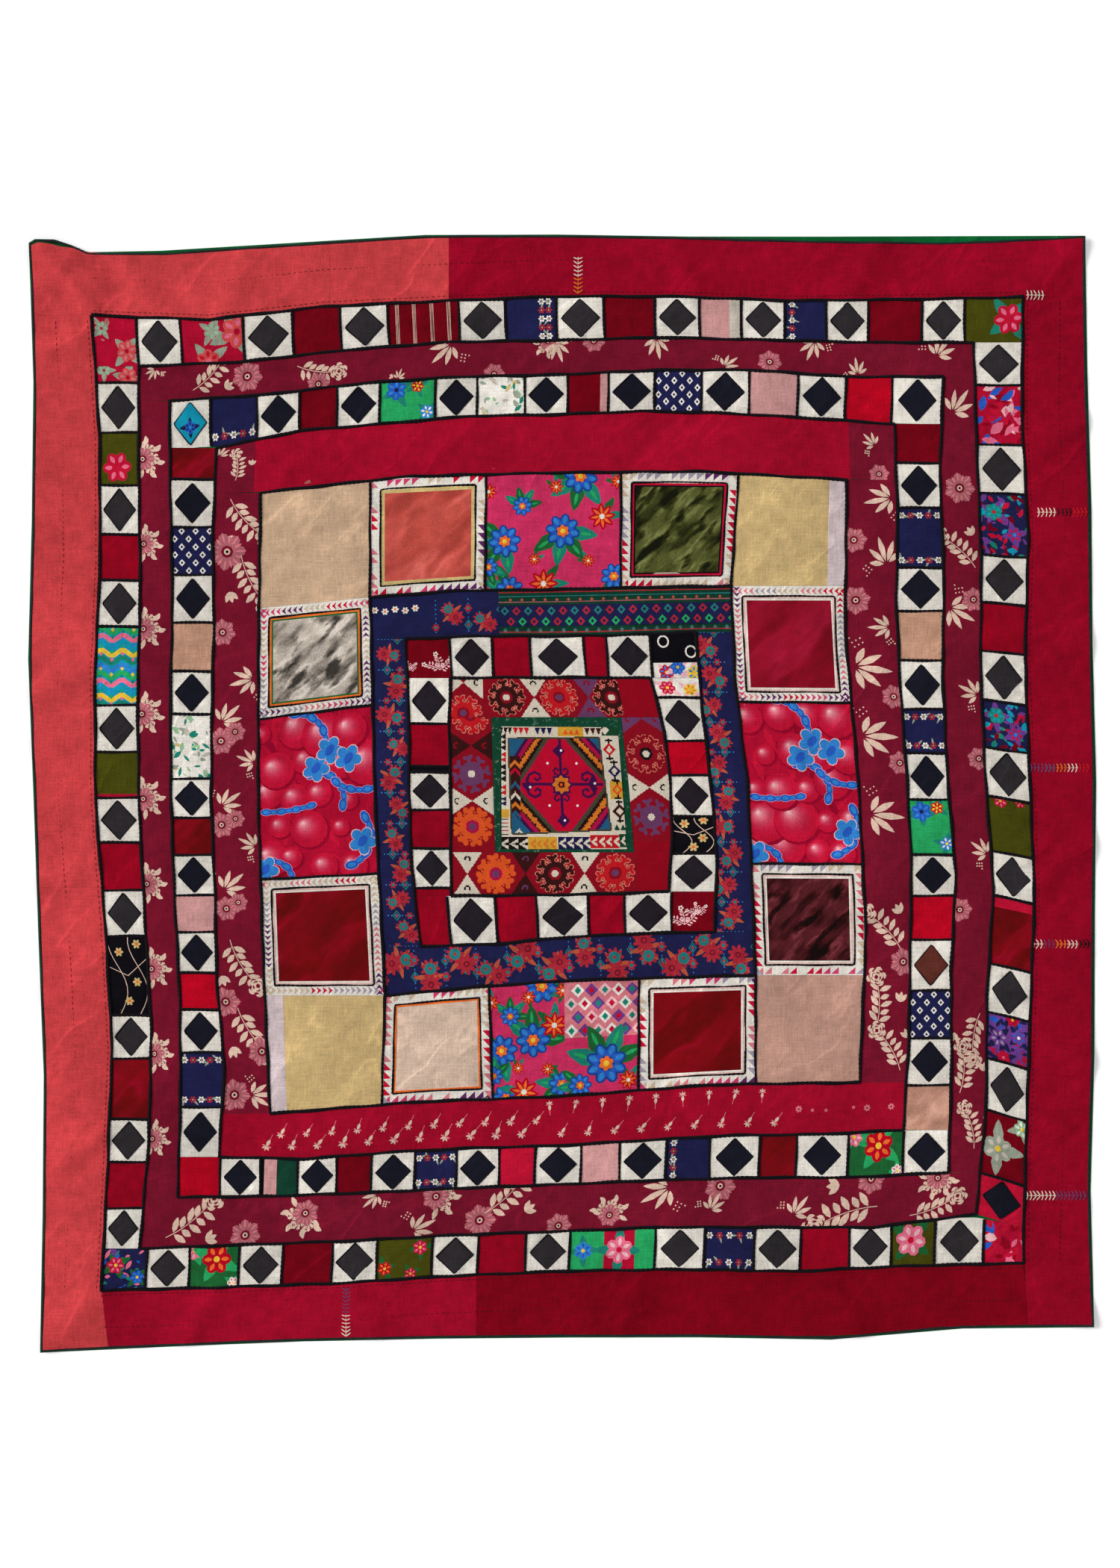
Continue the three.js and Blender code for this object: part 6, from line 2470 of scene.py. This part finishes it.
class SUZANI_OT_stitches(bpy.types.Operator):
    """Run the stitches along the borders and feather-stitch their joins"""

    bl_idname = "suzani.stitches"
    bl_label = "Border stitches"

    def execute(self, context):
        rng = random.Random(STITCH_SEED)
        parts = []
        for side in SIDES:
            seam = np.asarray(outer_seam("outer_patches", side))
            outward = np.sign(seam.mean(axis=0)) * ((0, 1) if side in ("top", "bottom") else (1, 0))
            colour = ink_colour("patch_dark" if side == "left" else "wool_brown")
            for reach in STITCH_ROWS:
                parts += running_stitches(seam + outward * reach, *BORDER_STITCH, colour, rng)
        for x1, y1, x2, y2, inks in FEATHER_LINES:
            parts += feather_line(x1, y1, x2, y2, [ink_colour(ink) for ink in inks], rng)
        make_cords("border_stitches", parts, "thread")
        return {"FINISHED"}


# Places of the beads on the centre's chart
BEADS = ((-3.8, 49.8), (-21.8, 32.8), (17, 32.5), (-45, 0.8), (41.5, 5.8), (-19, -23.8), (18.4, -24),
         (1.4, -43.8))


class SUZANI_OT_beads(bpy.types.Operator):
    """Sew the white beads on the centre panel"""

    bl_idname = "suzani.beads"
    bl_label = "Beads"

    def execute(self, context):
        low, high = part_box("centre_panel")
        middle_x, middle_y = (low[0] + high[0]) / 2, (low[1] + high[1]) / 2
        radius = settings("cords").bead / 2
        parts = [bead(middle_x + x * CHART_UNIT * MM, middle_y + y * CHART_UNIT * MM, radius, (1, 1, 1))
                 for x, y in BEADS]
        make_cords("centre_beads", parts, "bead")
        return {"FINISHED"}


# The way the light runs over the floor, and how wide its disc looks
LIGHT_HEADING = (0.96, -0.28)
LIGHT_WIDTH = math.radians(24)


def key_light(strength, elevation):
    """A broad light from the left of the cover."""
    data = bpy.data.lights.new("Key", "SUN")
    data.energy = strength
    data.angle = LIGHT_WIDTH
    lamp = bpy.data.objects.new("Key", data)
    flat = math.cos(elevation)
    aim = Vector((LIGHT_HEADING[0] * flat, LIGHT_HEADING[1] * flat, -math.sin(elevation)))
    lamp.rotation_euler = aim.to_track_quat("-Z", "Y").to_euler()
    lamp.location = -6 * aim
    bpy.context.scene.collection.objects.link(lamp)


# Height of what the camera sees and its place over the cloth, and the floor's half side and drop
FRAME_HEIGHT = 3.15
CAMERA_PLACE = (-0.0044, 0.0193)
FLOOR_REACH = 60.0
FLOOR_DROP = -0.2 * MM
WHITE = (1.0, 1.0, 1.0, 1.0)


class SUZANI_OT_stage(bpy.types.Operator):
    """Set the pale floor, the soft light and the camera straight above"""

    bl_idname = "suzani.stage"
    bl_label = "Stage"

    def execute(self, context):
        scene, stage = context.scene, settings("stage")
        mesh = bpy.data.meshes.new("floor")
        corners = [(x, y, FLOOR_DROP) for x, y in (
            (-FLOOR_REACH, -FLOOR_REACH), (FLOOR_REACH, -FLOOR_REACH), (FLOOR_REACH, FLOOR_REACH),
            (-FLOOR_REACH, FLOOR_REACH))]
        mesh.from_pydata(corners, [], [(0, 1, 2, 3)])
        floor = bpy.data.objects.new("floor", mesh)
        scene.collection.objects.link(floor)
        material, tree, shader = new_material("Studio floor", 0.9)
        clouds = add_noise(tree, place_of(tree), 0.7, 2.0)
        ramped(tree, shader, clouds, (0.88, 0.88, 0.88, 1.0), (0.92, 0.92, 0.92, 1.0))
        shader.inputs["Emission Color"].default_value = WHITE
        shader.inputs["Emission Strength"].default_value = 0.2
        mesh.materials.append(material)
        key_light(stage.key, stage.elevation)
        world = bpy.data.worlds.new("Surround")
        world.use_nodes = True
        background = world.node_tree.nodes["Background"]
        background.inputs["Color"].default_value = WHITE
        background.inputs["Strength"].default_value = stage.sky
        scene.world = world
        scene.view_settings.view_transform = "Standard"
        camera = bpy.data.cameras.new("Camera")
        camera.sensor_fit = "VERTICAL"
        camera.sensor_height = 36.0
        camera.lens = camera.sensor_height * stage.height / FRAME_HEIGHT
        eye = bpy.data.objects.new("Camera", camera)
        eye.location = (*CAMERA_PLACE, stage.height)
        scene.collection.objects.link(eye)
        scene.camera = eye
        return {"FINISHED"}


GROUPS = {"dyes": SuzaniDyes, "cloth": SuzaniCloth, "cords": SuzaniCords, "stage": SuzaniStage}
OPERATORS = (
    SUZANI_OT_lining, SUZANI_OT_borders, SUZANI_OT_patches, SUZANI_OT_long_bands, SUZANI_OT_blocks,
    SUZANI_OT_stitched, SUZANI_OT_binding, SUZANI_OT_edge_cords, SUZANI_OT_seam_cords,
    SUZANI_OT_outlines, SUZANI_OT_stitches, SUZANI_OT_beads, SUZANI_OT_stage,
)


class SUZANI_PT_cover(bpy.types.Panel):
    """Sizes, dyes and building steps of the cover"""

    bl_label = "Patchwork suzani"
    bl_idname = "SUZANI_PT_cover"
    bl_space_type = "VIEW_3D"
    bl_region_type = "UI"
    bl_category = "Suzani"

    def draw(self, context):
        for name, group in GROUPS.items():
            box = self.layout.box()
            box.label(text=name.capitalize())
            for label in group.__annotations__:
                box.prop(getattr(context.scene, f"suzani_{name}"), label)
        for operator in OPERATORS:
            self.layout.operator(operator.bl_idname)


def register():
    for group in GROUPS.values():
        bpy.utils.register_class(group)
    for operator in OPERATORS:
        bpy.utils.register_class(operator)
    bpy.utils.register_class(SUZANI_PT_cover)
    for name, group in GROUPS.items():
        setattr(bpy.types.Scene, f"suzani_{name}", bpy.props.PointerProperty(type=group))


def unregister():
    for name in GROUPS:
        delattr(bpy.types.Scene, f"suzani_{name}")
    bpy.utils.unregister_class(SUZANI_PT_cover)
    for made in (*reversed(OPERATORS), *reversed(GROUPS.values())):
        bpy.utils.unregister_class(made)


def main():
    register()
    for operator in OPERATORS:
        group, name = operator.bl_idname.split(".")
        getattr(getattr(bpy.ops, group), name)()


if __name__ == "__main__":
    main()
